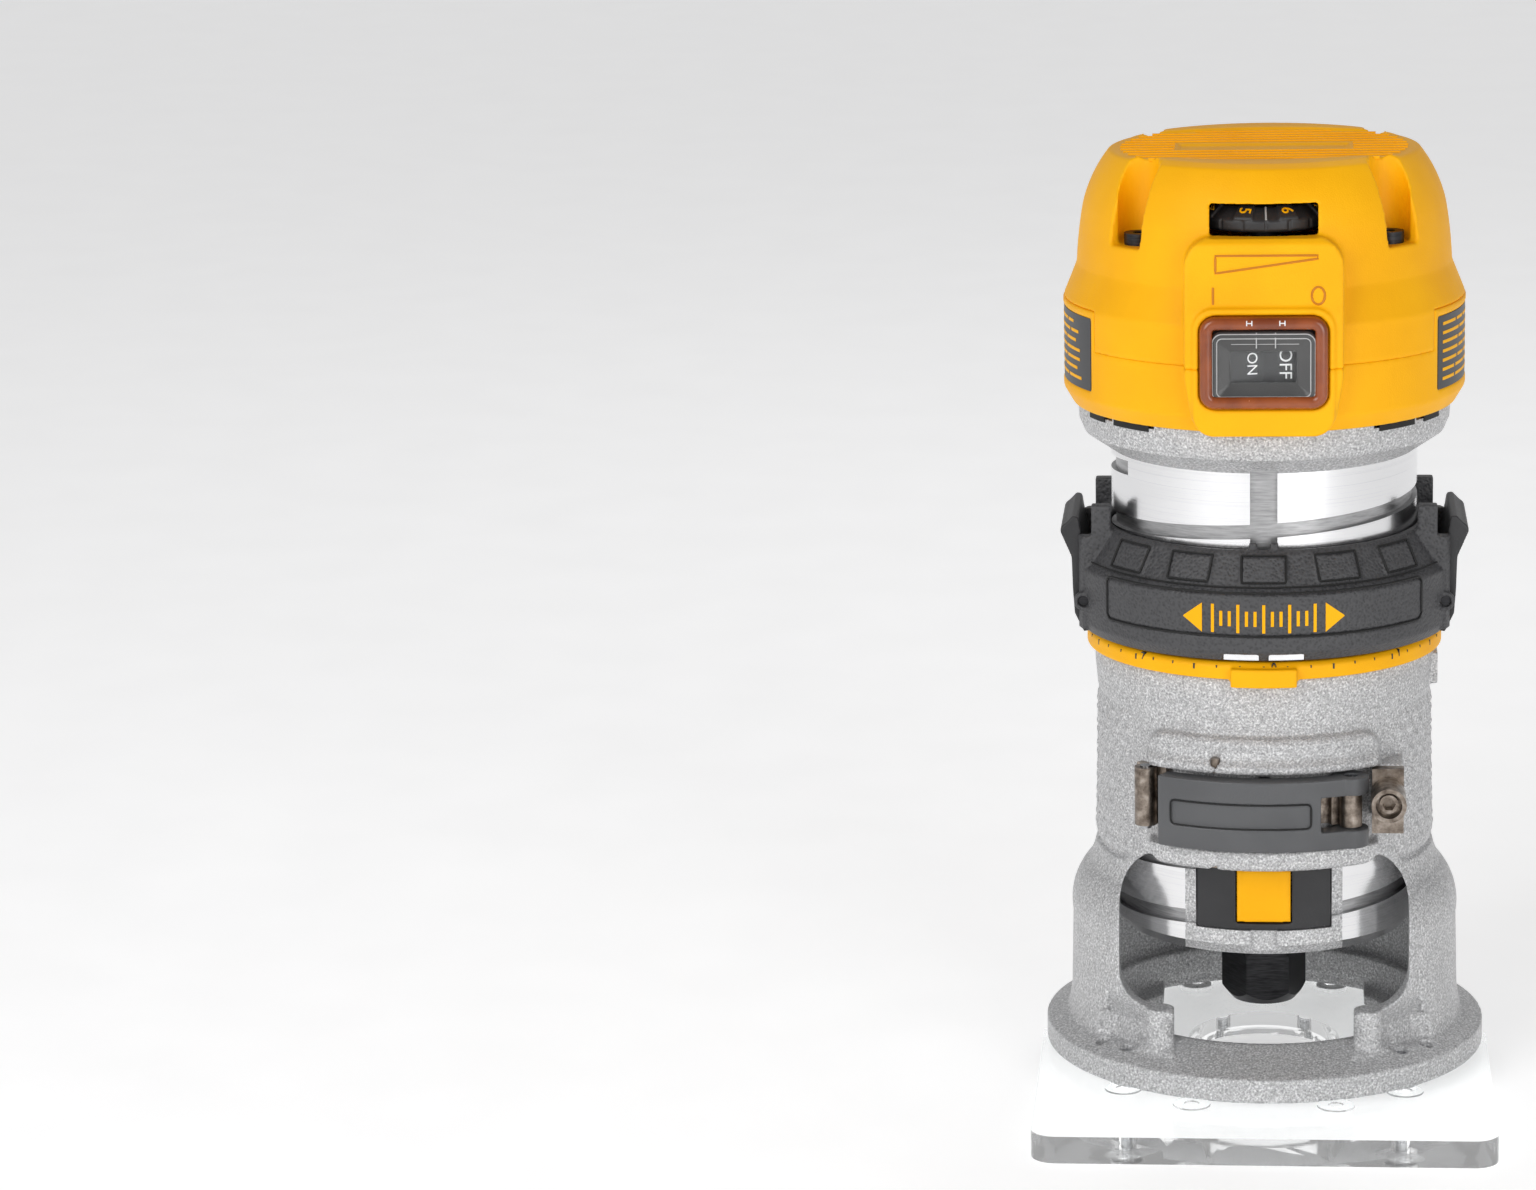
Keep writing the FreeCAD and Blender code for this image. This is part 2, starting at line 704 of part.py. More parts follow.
# ---------------------------------------------------------------- motor casing
def make_motor_housing():
    radius, bore = size("motor_radius"), size("motor_bore")
    body = revolve([
        (11.0, size("motor_bottom")),
        (radius - 2.0, size("motor_bottom")),
        (radius, size("motor_chamfer_top")),
        (radius, size("motor_neck")),
        (37.1, 148.5),
        (40.5, 150.8),
        (size("flange_radius") - 0.3, 153.4),
        (size("flange_radius"), size("flange_top")),
        (bore, size("flange_top")),
        (bore, size("lower_bearing_high")),
        (16.02, size("lower_bearing_high")),
        (16.02, size("lower_bearing_low")),
        (13.0, size("lower_bearing_low")),
        (13.0, 56.2),
        (bore, 56.2),
        (bore, 39.6),
        (11.0, 39.6),
    ])
    sketch = sketch_on(body, "XZ_Plane")
    half = size("groove_width") / 2
    depth = size("groove_depth")
    # The groove's centre line crosses the front at groove_front, and the sketch lies in the
    # +X half plane, a quarter of a turn further round. It runs out at the motor's lower end.
    turns_down = 8
    level = size("groove_front") + size("groove_lead") * (0.25 - turns_down)
    outline(sketch, [
        (radius - depth, level - half), (radius + 1.0, level - half),
        (radius + 1.0, level + half), (radius - depth, level + half),
    ])
    groove = body.newObject("PartDesign::SubtractiveHelix", "Groove")
    groove.Profile = sketch
    groove.ReferenceAxis = (sketch, ["V_Axis"])
    groove.Mode = 0
    bind(groove, "Pitch", size("groove_lead"))
    bind(groove, "Height", size("groove_lead") * (turns_down + 0.58))
    key_half = size("key_width") / 2
    keyway = block(key_half, -40.0, size("key_depth") - radius, 30.0, size("motor_neck") + 1.0)
    insert_space = block(15.2, -36.0, -27.5, 41.6, 57.1)
    cap_screw_holes = []
    for azimuth in screw_azimuths():
        x, y = around(SIZES["screw_circle"], azimuth)
        cap_screw_holes.append(cylinder(1.95, 151.6, 160.0, x, y))
    vents = []
    for azimuth in (-56, -47, -38, 38, 47, 56, 124, 133, 142, -124, -133, -142):
        vents.append(box(-2.2, 2.2, -44.0, -36.0, 156.6, 160.0, azimuth))
    exhausts = []
    for step in range(6):
        x, y = around(22.0, 30 + 60 * step)
        exhausts.append(cylinder(3.6, 30.0, 42.0, x, y))
    notch = block(15.4, -46.0, -41.2, 156.4, 160.0)
    node("motor_housing", cut(
        body, keyway, insert_space, notch, *cap_screw_holes, *vents, *exhausts))


def screw_azimuths():
    azimuth = SIZES["screw_azimuth"]
    return (-azimuth, azimuth, 180 - azimuth, azimuth - 180)


def make_spindle_lock():
    clip = cylinder(34.3, 40.0, 60.0)
    insert = common(block(15.1, -36.0, -27.6, 41.7, 57.0), clip)
    button_space = block(6.3, -40.0, -20.0, 43.2, 55.8)
    node("lock_insert", cut(
        fuse(insert, block(15.0, -30.0, -27.6, 41.7, 55.3)), button_space))
    face = common(block(6.0, -33.7, -26.6, 43.5, 55.5), cylinder(33.9, 40.0, 60.0))
    stem = bar(4.0, -27.0, -24.6, "y", 0, size("lock_level"))
    node("lock_button", cut(
        fuse(face, stem), bar(2.42, -29.0, -20.0, "y", 0, size("lock_level"))))
    node("lock_pin", bar(2.4, -28.8, -9.3, "y", 0, size("lock_level")))
    node("lock_plate", cut(
        block(12.0, -15.0, -12.4, 39.7, 55.3),
        bar(2.5, -17.0, -10.0, "y", 0, size("lock_level"))))
    toward_front = FreeCAD.Rotation(FreeCAD.Vector(1, 0, 0), 90)
    node("lock_spring", spring(
        3.3, 0.8, 15.8, 23.9, 5, toward_front, 0, 0, SIZES["lock_level"]))


# ---------------------------------------------------------------- motor internals
def make_stator():
    core = shell_ring(29.6, 17.5, size("rotor_low"), size("rotor_high"))
    low, high = size("rotor_low"), size("rotor_high")
    keys = [block(3.0, -30.3, -29.0, low, high), block(3.0, 29.0, 30.3, low, high)]
    node("stator_core", fuse(core, *keys))
    coils = []
    for low, high in ((84.0, 89.9), (125.1, 131.0)):
        coils.append(revolve([
            (19.0, low), (27.6, low, 3.0), (28.8, low + 1.2), (28.8, high - 1.2),
            (27.6, high), (19.0, high), (18.0, high - 1.2), (18.0, low + 1.2),
        ]))
    node("field_coils", compound(*coils))


def make_armature():
    lock = size("lock_level")
    shaft = revolve([
        (4.95, 21.0), (size("shaft_nose_radius"), 21.0), (size("shaft_nose_radius"), 33.5),
        (9.0, 33.5), (9.0, 55.0), (8.4, 55.0), (8.4, size("lower_bearing_low")),
        (size("shaft_nose_radius"), size("lower_bearing_low")),
        (size("shaft_nose_radius"), size("lower_bearing_high")),
        (6.0, size("lower_bearing_high") + 1.0), (6.0, 84.0), (5.0, 84.0),
        (5.0, size("commutator_high")), (5.0, 148.0), (4.6, size("upper_bearing_low")),
        (4.0, size("upper_bearing_low")), (4.0, size("upper_bearing_high")), (0, 158.0),
        (0, 44.0), (3.4, 44.0), (3.4, 34.0), (4.95, 34.0),
    ])
    cross_holes = [
        bar(2.7, -12.0, 12.0, "y", 0, lock),
        bar(2.7, -12.0, 12.0, "x", 0, lock),
    ]
    node("spindle_shaft", cut(shaft, *cross_holes))
    low, high = size("rotor_low"), size("rotor_high")
    core = shell_ring(size("rotor_radius"), 5.0, low, high)
    slots = []
    for step in range(12):
        slots.append(box(-0.8, 0.8, -20.0, -11.0, 80.0, 130.0, 30 * step))
    node("rotor_core", cut(core, *slots))
    ends = []
    for bottom, top in ((84.2, 90.0), (125.0, 131.5)):
        ends.append(revolve([
            (6.1, bottom), (14.0, bottom), (16.2, bottom + 2.0), (16.2, top - 2.0),
            (14.0, top), (6.1, top),
        ]))
    node("armature_windings", compound(*ends))
    drum = shell_ring(11.0, 5.0, size("commutator_low"), size("commutator_high"))
    gaps = [box(-0.3, 0.3, -12.0, -10.2, 130.0, 150.0, 15 * step) for step in range(24)]
    node("commutator", cut(drum, *gaps))


def make_fan():
    hub = shell_ring(9.0, 6.0, 73.0, 82.0)
    disc = shell_ring(27.0, 6.0, 80.6, 82.0)
    blades = []
    for step in range(12):
        blades.append(box(-0.7, 0.7, -26.6, -8.0, 73.6, 81.0, 30 * step))
    node("cooling_fan", fuse(hub, disc, *blades))
    node("fan_baffle", revolve([
        (14.0, 70.2), (30.4, 70.2), (30.4, 76.0), (28.8, 76.0), (28.8, 71.7), (14.0, 71.7),
    ]))
    node("bearing_retainer", shell_ring(22.0, 12.0, 66.0, 67.6))


def make_bearings():
    """Each bearing is an outer ring in the casing, and an inner ring and balls on the shaft."""
    balls = []
    rows = (
        ("lower", 7.5, 10.3, 13.2, 16.0, "lower_bearing_low", "lower_bearing_high", 11),
        ("upper", 4.0, 6.1, 8.9, 11.0, "upper_bearing_low", "upper_bearing_high", 7),
    )
    for name, bore, inner, outer, rim, low, high, count in rows:
        node(f"{name}_bearing_outer", shell_ring(rim, outer, size(low), size(high)))
        node(f"{name}_bearing_inner", shell_ring(inner, bore, size(low), size(high)))
        middle = (SIZES[low] + SIZES[high]) / 2
        for step in range(count):
            ball = doc.addObject("Part::Sphere", "Ball")
            ball.Radius = (outer - inner) / 2 - 0.04
            x, y = around((inner + outer) / 2, 360 * step / count)
            balls.append(move(ball, x, y, middle))
    node("bearing_balls", compound(*balls))


def make_brush_gear():
    low, high = size("upper_bearing_low"), size("upper_bearing_high")
    node("bearing_bracket", revolve([
        (11.02, 147.0), (30.3, 147.0), (30.3, 150.0), (15.0, 150.0), (15.0, high + 2.0),
        (6.0, high + 2.0), (6.0, high), (11.02, high),
    ]))
    holders = []
    brushes = []
    springs = []
    sideways = FreeCAD.Rotation(FreeCAD.Vector(0, 1, 0), 90)
    for side in (-1, 1):
        near, far = sorted((12.0 * side, 29.0 * side))
        holder = box(near, far, -5.6, 5.6, 134.0, 147.0)
        holders.append(cut(holder, box(-30.0, 30.0, -4.0, 4.0, 135.6, 142.4)))
        near, far = sorted((11.1 * side, 21.5 * side))
        brushes.append(box(near, far, -3.9, 3.9, 135.7, 142.3))
        start = 21.6 if side > 0 else -28.8
        springs.append(spring(2.4, 0.6, start + 0.4, start + 6.8, 5, sideways, 0, 0, 139.0))
    node("brush_holders", compound(*holders))
    node("carbon_brushes", compound(*brushes))
    node("brush_springs", compound(*springs))


# ---------------------------------------------------------------- cap
def cap_form(shrink):
    """The cap's turned form, taken in by a wall thickness all round."""
    top = size("cap_top") - shrink
    wide = size("cap_radius") - shrink
    foot = size("cap_bottom") if not shrink else size("cap_bottom") - 1.0
    if not shrink:
        foot_corners = [(42.9, foot), (wide, foot + 3.6)]
    else:
        foot_corners = [(wide, foot), (wide, foot + 3.6)]
    return revolve([(0, foot)] + foot_corners + [
        (wide, 181.0 - shrink / 2),
        (41.9 - shrink, 188.7 - shrink / 4, 98.0),
        (40.45 - shrink, 201.8 - shrink / 4, 30.0),
        (34.6 - shrink, top - 1.0),
        (32.4 - shrink, top),
        (0, top),
    ])


def cap_lower_region():
    """The space of the skirt: all round below the parting, higher beside the labels."""
    level = size("parting_level")
    below = cylinder(60.0, 150.0, level)
    sides = []
    for start, end in ((56.0, 124.0), (-124.0, -56.0)):
        sides.append(sector(60.0, 160.0, size("side_parting_level"), start, end))
    return fuse(below, *sides)


def make_cap():
    wall = size("cap_wall")
    front_panel = slab("YZ_Plane", [
        (-34.0, size("cap_bottom")), (-43.6, size("cap_bottom")), (-45.6, 161.0),
        (-46.1, 166.0), (-46.1, 184.0), (-43.2, 199.0), (-41.6, 200.4), (-34.0, 200.4),
    ], -size("panel_half_width"), size("panel_half_width"))
    half = size("panel_half_width")
    panel_outline = slab("XZ_Plane", [
        (-12.0, 156.0), (12.0, 156.0), (15.6, 161.0), (half, 170.0), (half, 193.9, 6.5),
        (half - 6.5, 200.4), (6.5 - half, 200.4, 6.5), (-half, 193.9), (-half, 170.0),
        (-15.6, 161.0),
    ], -60.0, -30.0)
    pod = slab("XZ_Plane", rounded(15.3, size("cap_bottom"), 185.6, 4.6), -47.0, -38.0)
    outer = fuse(cap_form(0), common(front_panel, panel_outline), pod)
    hollow = cap_form(wall)
    shell = cut(outer, hollow)
    posts = []
    for azimuth in screw_azimuths():
        x, y = around(SIZES["screw_circle"], azimuth)
        posts.append(cylinder(7.8, size("flange_top"), 216.0, x, y))
    framed = common(fuse(*posts), cap_form(0))
    channels = []
    screws = []
    for azimuth in screw_azimuths():
        x, y = around(SIZES["screw_circle"], azimuth)
        channels.append(cylinder(4.6, size("screw_seat"), 220.0, x, y))
        channels.append(cylinder(2.0, 150.0, 200.0, x, y))
        inward = math.copysign(9.0, azimuth if abs(azimuth) < 90 else -azimuth)
        outward = -inward / 2
        start, end = sorted((azimuth - inward, azimuth - outward))
        channels.append(cut(
            sector(60.0, size("screw_seat"), 220.0, start, end), cylinder(33.6, 190.0, 225.0)))
        head = cylinder(3.3, size("screw_seat"), size("screw_seat") + 2.6, x, y)
        drive = cylinder(1.4, size("screw_seat") + 1.2, 200.0, x, y)
        shank = cylinder(1.9, 152.0, size("screw_seat"), x, y)
        screws.append(cut(fuse(head, shank), drive))
    low, high = size("switch_low"), size("switch_high")
    openings = [
        block(size("switch_half_width"), -50.0, -30.0, low, high),
        slab("XZ_Plane", rounded(size("bezel_half_width") + 0.05, size("bezel_low") - 0.05,
                                 size("bezel_high") + 0.05, 3.6), -50.0, -45.4),
        block(size("dial_window_half_width"), -50.0, -30.0, size("dial_low"), size("dial_high")),
        bar(5.05, 30.0, 60.0, "y", 0, 192.0),
    ]
    for start, end in ((58.0, 108.0), (-108.0, -58.0)):
        openings.append(cut(
            sector(50.0, 162.9, 179.6, start, end), cylinder(44.3, 160.0, 182.0)))
    cap = cut(fuse(shell, framed), *channels, *openings)
    node("cap_skirt", common(cap, cap_lower_region()))
    node("top_cap", cut(cap, cap_lower_region()))
    node("cap_screws", compound(*screws))
    plates = []
    for start, end in ((58.3, 107.7), (-107.7, -58.3)):
        plates.append(cut(
            sector(44.85, 163.1, 179.4, start, end), cylinder(44.32, 160.0, 182.0)))
    node("label_plates", compound(*plates))
    gland_outer = fuse(
        bar(5.0, 36.0, 44.5, "y", 0, 192.0), bar(7.0, 43.7, 46.2, "y", 0, 192.0))
    node("cord_gland", cut(gland_outer, bar(3.6, 30.0, 50.0, "y", 0, 192.0)))


def make_switch():
    low, high = size("switch_low"), size("switch_high")
    half = size("switch_half_width")
    frame = slab("XZ_Plane", rounded(
        size("bezel_half_width"), size("bezel_low"), size("bezel_high"), 3.6), -48.4, -45.5)
    opening = slab("XZ_Plane", rounded(half, low, high, 1.4), -50.0, -40.0)
    node("switch_bezel", cut(frame, opening))
    boot_wall = 0.7
    boot = fuse(
        block(half - 0.4, -47.4, -40.2, low + 0.4, high - 0.4),
        block(half + 1.0, -40.2, -39.4, low - 1.0, high + 0.2))
    node("switch_boot", cut(
        boot, block(half - 0.4 - boot_wall, -47.4 + boot_wall, -39.0,
                    low + 0.4 + boot_wall, high - 0.4 - boot_wall)))
    node("switch_body", block(13.0, -39.3, -20.0, low - 1.0, high + 1.2))
    plate = slab("XY_Plane", [
        (-8.2, -45.8, 60.0), (-0.2, -43.7), (0.2, -43.7, 60.0), (8.2, -43.3), (8.2, -42.2),
        (3.0, -40.4), (-3.0, -40.4), (-8.2, -42.6),
    ], 167.6, 178.8)
    trunnions = cylinder(1.2, 166.9, 179.5, 0, -41.0)
    node("rocker_switch", fuse(plate, trunnions))


def make_speed_control():
    offset = -size("dial_offset")
    low = size("dial_low") + 0.7
    high = size("dial_high") - 0.7
    wheel = cylinder(size("dial_radius"), low, high, 0, offset)
    flutes = []
    for step in range(30):
        angle = 12 * step
        x, y = around(SIZES["dial_radius"] + 0.35, angle)
        flutes.append(cylinder(0.8, 199.0, 202.6, x, offset + y))
    bore = cylinder(3.05, 190.0, 210.0, 0, offset)
    node("speed_dial", cut(wheel, bore, *flutes))
    node("speed_control", fuse(
        cylinder(3.0, 190.6, 205.0, 0, offset), cylinder(7.5, 190.6, 196.0, 0, offset)))
    node("circuit_board", block(17.0, -31.0, 21.0, 189.0, 190.6))


# ---------------------------------------------------------------- collet
def make_collet():
    node("collet", cut(
        revolve([
            (0, 16.4), (4.6, 16.4), (4.9, 22.0), (4.9, 33.0), (4.4, 33.6), (0, 33.6)]),
        cylinder(size("collet_bore"), 10.0, 40.0),
        box(-0.35, 0.35, -8.0, 8.0, 24.0, 36.0), box(-8.0, 8.0, -0.35, 0.35, 24.0, 36.0)))
    bevel = revolve([(0, 15.6), (7.4, 15.6), (9.7, 18.4), (9.7, 27.0), (8.6, 29.6), (0, 29.6)])
    hexagon = common(prism(16.8, 15.6, 29.6, 30.0), bevel)
    node("collet_nut", cut(
        hexagon, cylinder(size("shaft_nose_radius") + 0.03, 19.6, 40.0),
        cylinder(4.95, 15.0, 20.0)))


def check_and_export():
    """Stop on any failed object, then write every sub-part as its own file."""
    doc.recompute()
    failed = [item.Label for item in doc.Objects
              if "Invalid" in item.State or "Error" in item.State]
    bad = [name for name, item in nodes.items()
           if item.Shape.isNull() or not item.Shape.isValid() or not item.Shape.Solids]
    if failed or bad:
        raise RuntimeError(f"failed objects {failed}, bad sub-parts {bad}")
    os.makedirs("parts", exist_ok=True)
    for name, item in nodes.items():
        item.Shape.exportStep(f"parts/{name}.step")
        print(name, len(item.Shape.Solids), round(item.Shape.Volume))


make_base_casting()
make_sub_base()
make_guide_pins()
make_clamp()
make_depth_ring()
make_release_tab("release_tab_right", 1)
make_release_tab("release_tab_left", -1)
make_scale_ring()
make_motor_housing()
make_spindle_lock()
make_stator()
make_armature()
make_fan()
make_bearings()
make_brush_gear()
make_cap()
make_switch()
make_speed_control()
make_collet()
check_and_export()
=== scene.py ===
"""Looks for a trim router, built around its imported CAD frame.

The castings, mouldings and rubber parts get finished meshes that ride on the CAD bodies, and
every other node keeps its CAD shape and gets a procedural material. Metres throughout; +Z is
up, -Y is the front of the tool and +X its right-hand side. Azimuths are degrees about the
spindle axis from the front, positive towards +X.
"""

import json
import math

import bmesh
import bpy
from mathutils import Matrix, Vector


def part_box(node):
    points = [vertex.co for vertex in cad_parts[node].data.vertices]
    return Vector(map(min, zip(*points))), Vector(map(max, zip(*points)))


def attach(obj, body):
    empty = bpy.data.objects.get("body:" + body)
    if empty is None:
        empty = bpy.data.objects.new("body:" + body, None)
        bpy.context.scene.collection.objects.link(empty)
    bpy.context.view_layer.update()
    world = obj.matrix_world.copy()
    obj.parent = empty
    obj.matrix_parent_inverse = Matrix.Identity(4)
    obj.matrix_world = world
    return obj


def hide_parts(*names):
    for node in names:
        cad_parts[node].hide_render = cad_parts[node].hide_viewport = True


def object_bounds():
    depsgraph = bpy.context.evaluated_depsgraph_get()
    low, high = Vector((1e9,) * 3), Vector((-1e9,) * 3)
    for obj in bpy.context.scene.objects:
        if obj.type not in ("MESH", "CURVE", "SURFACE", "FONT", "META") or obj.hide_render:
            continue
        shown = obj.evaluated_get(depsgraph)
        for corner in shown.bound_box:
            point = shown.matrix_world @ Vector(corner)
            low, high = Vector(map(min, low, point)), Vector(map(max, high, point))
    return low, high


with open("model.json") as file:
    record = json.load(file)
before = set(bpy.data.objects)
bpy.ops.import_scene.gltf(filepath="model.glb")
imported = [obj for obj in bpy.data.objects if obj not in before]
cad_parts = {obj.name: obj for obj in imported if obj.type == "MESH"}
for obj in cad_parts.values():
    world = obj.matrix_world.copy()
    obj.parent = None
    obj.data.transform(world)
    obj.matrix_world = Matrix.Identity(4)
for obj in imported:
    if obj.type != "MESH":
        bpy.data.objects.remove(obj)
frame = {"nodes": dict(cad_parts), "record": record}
cad_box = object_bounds()
NODES = frame["nodes"]
BODY_OF = {node: body for body, members in frame["record"]["behaviour"]["bodies"].items()
           for node in members}
SLOT_OF = {part["node"]: part["material_slot"] for part in frame["record"]["subparts"]}
MM = 0.001


# ------------------------------------------------------------------ colours and shader nodes
def linear(red, green, blue):
    """A shader colour from display values of 0 to 255."""
    def channel(value):
        value /= 255
        return value / 12.92 if value <= 0.04045 else ((value + 0.055) / 1.055) ** 2.4
    return (channel(red), channel(green), channel(blue), 1.0)


class Material:
    """A material built node by node on one Principled shader, in the object's own coordinates."""

    def __init__(self, name, **settings):
        self.data = bpy.data.materials.new(name)
        self.data.use_nodes = True
        self.tree = self.data.node_tree
        self.shader = self.tree.nodes["Principled BSDF"]
        self.place = self.tree.nodes.new("ShaderNodeTexCoord").outputs["Object"]
        for socket, value in settings.items():
            self.set(socket.replace("_", " "), value)

    def set(self, socket, value):
        self.feed(self.shader.inputs[socket], value)

    def feed(self, socket, value):
        """Give a socket a constant or a link."""
        if isinstance(value, bpy.types.NodeSocket):
            self.tree.links.new(value, socket)
        else:
            socket.default_value = value

    def node(self, kind, inputs, output=0, **settings):
        made = self.tree.nodes.new(kind)
        for key, value in settings.items():
            setattr(made, key, value)
        for key, value in inputs.items():
            self.feed(made.inputs[key], value)
        return made.outputs[output]

    def stretched(self, *scale):
        """The object's coordinates scaled by three factors."""
        return self.node("ShaderNodeMapping", {"Vector": self.place, "Scale": scale})

    def noise(self, scale, detail=2.0, roughness=0.5, place=None):
        """A noise field; scale is in cells per metre."""
        return self.node("ShaderNodeTexNoise", {
            "Vector": place or self.place, "Scale": scale, "Detail": detail,
            "Roughness": roughness})

    def cells(self, scale, feature="F1"):
        return self.node("ShaderNodeTexVoronoi", {"Vector": self.place, "Scale": scale},
                         feature=feature)

    def ramp(self, value, *stops):
        """Map a value through stops of (position, colour or grey level)."""
        made = self.tree.nodes.new("ShaderNodeValToRGB")
        self.feed(made.inputs[0], value)
        elements = made.color_ramp.elements
        while len(elements) < len(stops):
            elements.new(0.5)
        for element, (position, colour) in zip(elements, stops):
            element.position = position
            grey = isinstance(colour, (int, float))
            element.color = (colour, colour, colour, 1) if grey else colour
        return made.outputs[0]

    def span(self, value, low, high, to_low, to_high):
        return self.node("ShaderNodeMapRange", {
            "Value": value, "From Min": low, "From Max": high, "To Min": to_low,
            "To Max": to_high})

    def maths(self, operation, first, second=0.0):
        return self.node("ShaderNodeMath", {0: first, 1: second}, operation=operation)

    def mix(self, factor, first, second):
        return self.node("ShaderNodeMix", {0: factor, 6: first, 7: second}, output=2,
                         data_type="RGBA")

    def bump(self, height, depth, strength=1.0):
        """Relief from a height field; depth is the relief's depth in metres."""
        self.set("Normal", self.node("ShaderNodeBump", {
            "Height": height, "Strength": strength, "Distance": depth}))

    def axis(self, name):
        """One of the object's coordinates, X, Y or Z, in metres."""
        return self.node("ShaderNodeSeparateXYZ", {0: self.place}, output=name)

    def pass_light(self):
        """Let lamp light through, so that what stands behind clear plastic is lit."""
        clear = self.node("ShaderNodeBsdfTransparent", {})
        shadow = self.node("ShaderNodeLightPath", {}, output="Is Shadow Ray")
        out = self.tree.nodes["Material Output"].inputs["Surface"]
        self.feed(out, self.node("ShaderNodeMixShader", {
            0: shadow, 1: self.shader.outputs[0], 2: clear}))


# ------------------------------------------------------------------ materials
def sand_cast():
    """Light grey die casting with a sparkling sand texture."""
    made = Material("sand_cast", Metallic=0.35, Specular_IOR_Level=0.5)
    grain = made.noise(2100, 3.0, 0.65)
    patches = made.noise(160, 2.0)
    colour = made.ramp(grain, (0.30, linear(138, 138, 139)), (0.52, linear(196, 196, 197)),
                       (0.70, linear(250, 250, 250)))
    made.set("Base Color", made.mix(made.span(patches, 0.3, 0.7, 0.0, 0.16), colour,
                                    linear(166, 167, 170)))
    made.set("Roughness", made.span(grain, 0.3, 0.7, 0.56, 0.36))
    made.bump(grain, 0.00022)
    return made.data


def turned_metal():
    """Bright barrel with the fine circumferential lines that a lathe leaves."""
    made = Material("turned_metal", Metallic=1.0)
    lines = made.noise(1.0, 2.0, 0.6, made.stretched(9, 9, 3600))
    wear = made.noise(90, 3.0)
    made.set("Base Color", made.ramp(lines, (0.25, linear(226, 226, 227)),
                                     (0.75, linear(246, 246, 247))))
    shine = made.span(lines, 0.3, 0.7, 0.17, 0.23)
    made.set("Roughness", made.maths("ADD", shine, made.span(wear, 0.4, 0.7, 0.0, 0.04)))
    made.bump(lines, 0.000004)
    return made.data


def fine_plastic(name, dark, light, rough, depth=0.00005, scale=3000, gloss=0.5):
    """Moulded plastic with a spark-eroded texture and a slight unevenness of tone."""
    made = Material(name, Specular_IOR_Level=gloss)
    grain = made.noise(scale, 2.0, 0.6)
    tone = made.noise(55, 2.0)
    made.set("Base Color", made.mix(made.span(tone, 0.35, 0.65, 0.0, 1.0), dark, light))
    made.set("Roughness", made.span(grain, 0.3, 0.7, rough + 0.06, rough - 0.06))
    made.bump(grain, depth)
    return made.data


def leathery_rubber():
    """Black overmould with a pebbled grain."""
    made = Material("leathery_rubber")
    pebbles = made.cells(1500, "SMOOTH_F1")
    grain = made.noise(2600, 2.0)
    relief = made.maths("ADD", made.span(pebbles, 0.0, 0.7, 0.0, 1.0),
                        made.maths("MULTIPLY", grain, 0.35))
    made.set("Base Color", made.ramp(relief, (0.2, linear(44, 44, 46)), (0.9, linear(70, 70, 72))))
    made.set("Roughness", made.span(relief, 0.2, 1.0, 0.40, 0.56))
    made.bump(relief, 0.00016)
    return made.data


def browned_steel():
    """Pressed steel with a mottled brown finish."""
    made = Material("browned_steel", Metallic=1.0)
    mottle = made.noise(420, 4.0, 0.62)
    fine = made.noise(2600, 2.0)
    made.set("Base Color", made.ramp(mottle, (0.30, linear(88, 78, 70)),
                                     (0.5, linear(138, 127, 117)),
                                     (0.72, linear(182, 172, 162))))
    made.set("Roughness", made.span(mottle, 0.3, 0.7, 0.44, 0.28))
    made.bump(fine, 0.00005)
    return made.data


def black_oxide():
    """Oil-blacked steel with faint tool marks."""
    made = Material("black_oxide", Metallic=0.85)
    marks = made.noise(1.0, 2.0, 0.6, made.stretched(300, 300, 3000))
    made.set("Base Color", made.ramp(marks, (0.3, linear(40, 40, 42)), (0.7, linear(66, 66, 68))))
    made.set("Roughness", made.span(marks, 0.3, 0.7, 0.34, 0.48))
    made.bump(marks, 0.00003)
    return made.data


def clear_plastic(name, tint, rough, painted_glow=0.0):
    """Polycarbonate, faintly scuffed and wavy; its glow is painted light: an even emission over the
    whole surface, standing for the light its edges gather.
    """
    made = Material(name, Transmission_Weight=1.0, IOR=1.38, Base_Color=tint,
                    Emission_Color=(1, 1, 1, 1), Emission_Strength=painted_glow)
    scuffs = made.noise(1.0, 4.0, 0.7, made.stretched(260, 900, 500))
    made.set("Roughness", made.span(scuffs, 0.45, 0.75, rough, rough + 0.09))
    made.bump(made.noise(60, 2.0), 0.00004)
    made.pass_light()
    return made.data


def amber_plastic():
    """Translucent amber moulding with a glossy skin, slightly clouded."""
    made = Material("amber_plastic", Transmission_Weight=0.35, IOR=1.5, Coat_Weight=0.5,
                    Coat_Roughness=0.12)
    cloud = made.noise(140, 3.0)
    made.set("Base Color", made.ramp(cloud, (0.3, linear(142, 62, 14)), (0.7, linear(186, 92, 30))))
    made.set("Roughness", made.span(cloud, 0.3, 0.7, 0.18, 0.28))
    made.bump(made.noise(1800, 2.0), 0.00002)
    return made.data


def label_film():
    """Dark grey printed film with a silky face."""
    made = Material("label_film")
    grain = made.noise(4200, 1.0)
    made.set("Base Color", made.ramp(grain, (0.3, linear(54, 55, 57)), (0.7, linear(68, 69, 71))))
    made.set("Roughness", made.span(grain, 0.3, 0.7, 0.36, 0.46))
    made.bump(grain, 0.00001)
    return made.data


def metal(name, dark, light, rough, scale=(200, 200, 2400)):
    """Machined metal with fine marks that run one way."""
    made = Material(name, Metallic=1.0)
    marks = made.noise(1.0, 3.0, 0.6, made.stretched(*scale))
    made.set("Base Color", made.ramp(marks, (0.3, dark), (0.7, light)))
    made.set("Roughness", made.span(marks, 0.3, 0.7, rough - 0.05, rough + 0.08))
    made.bump(marks, 0.00002)
    return made.data


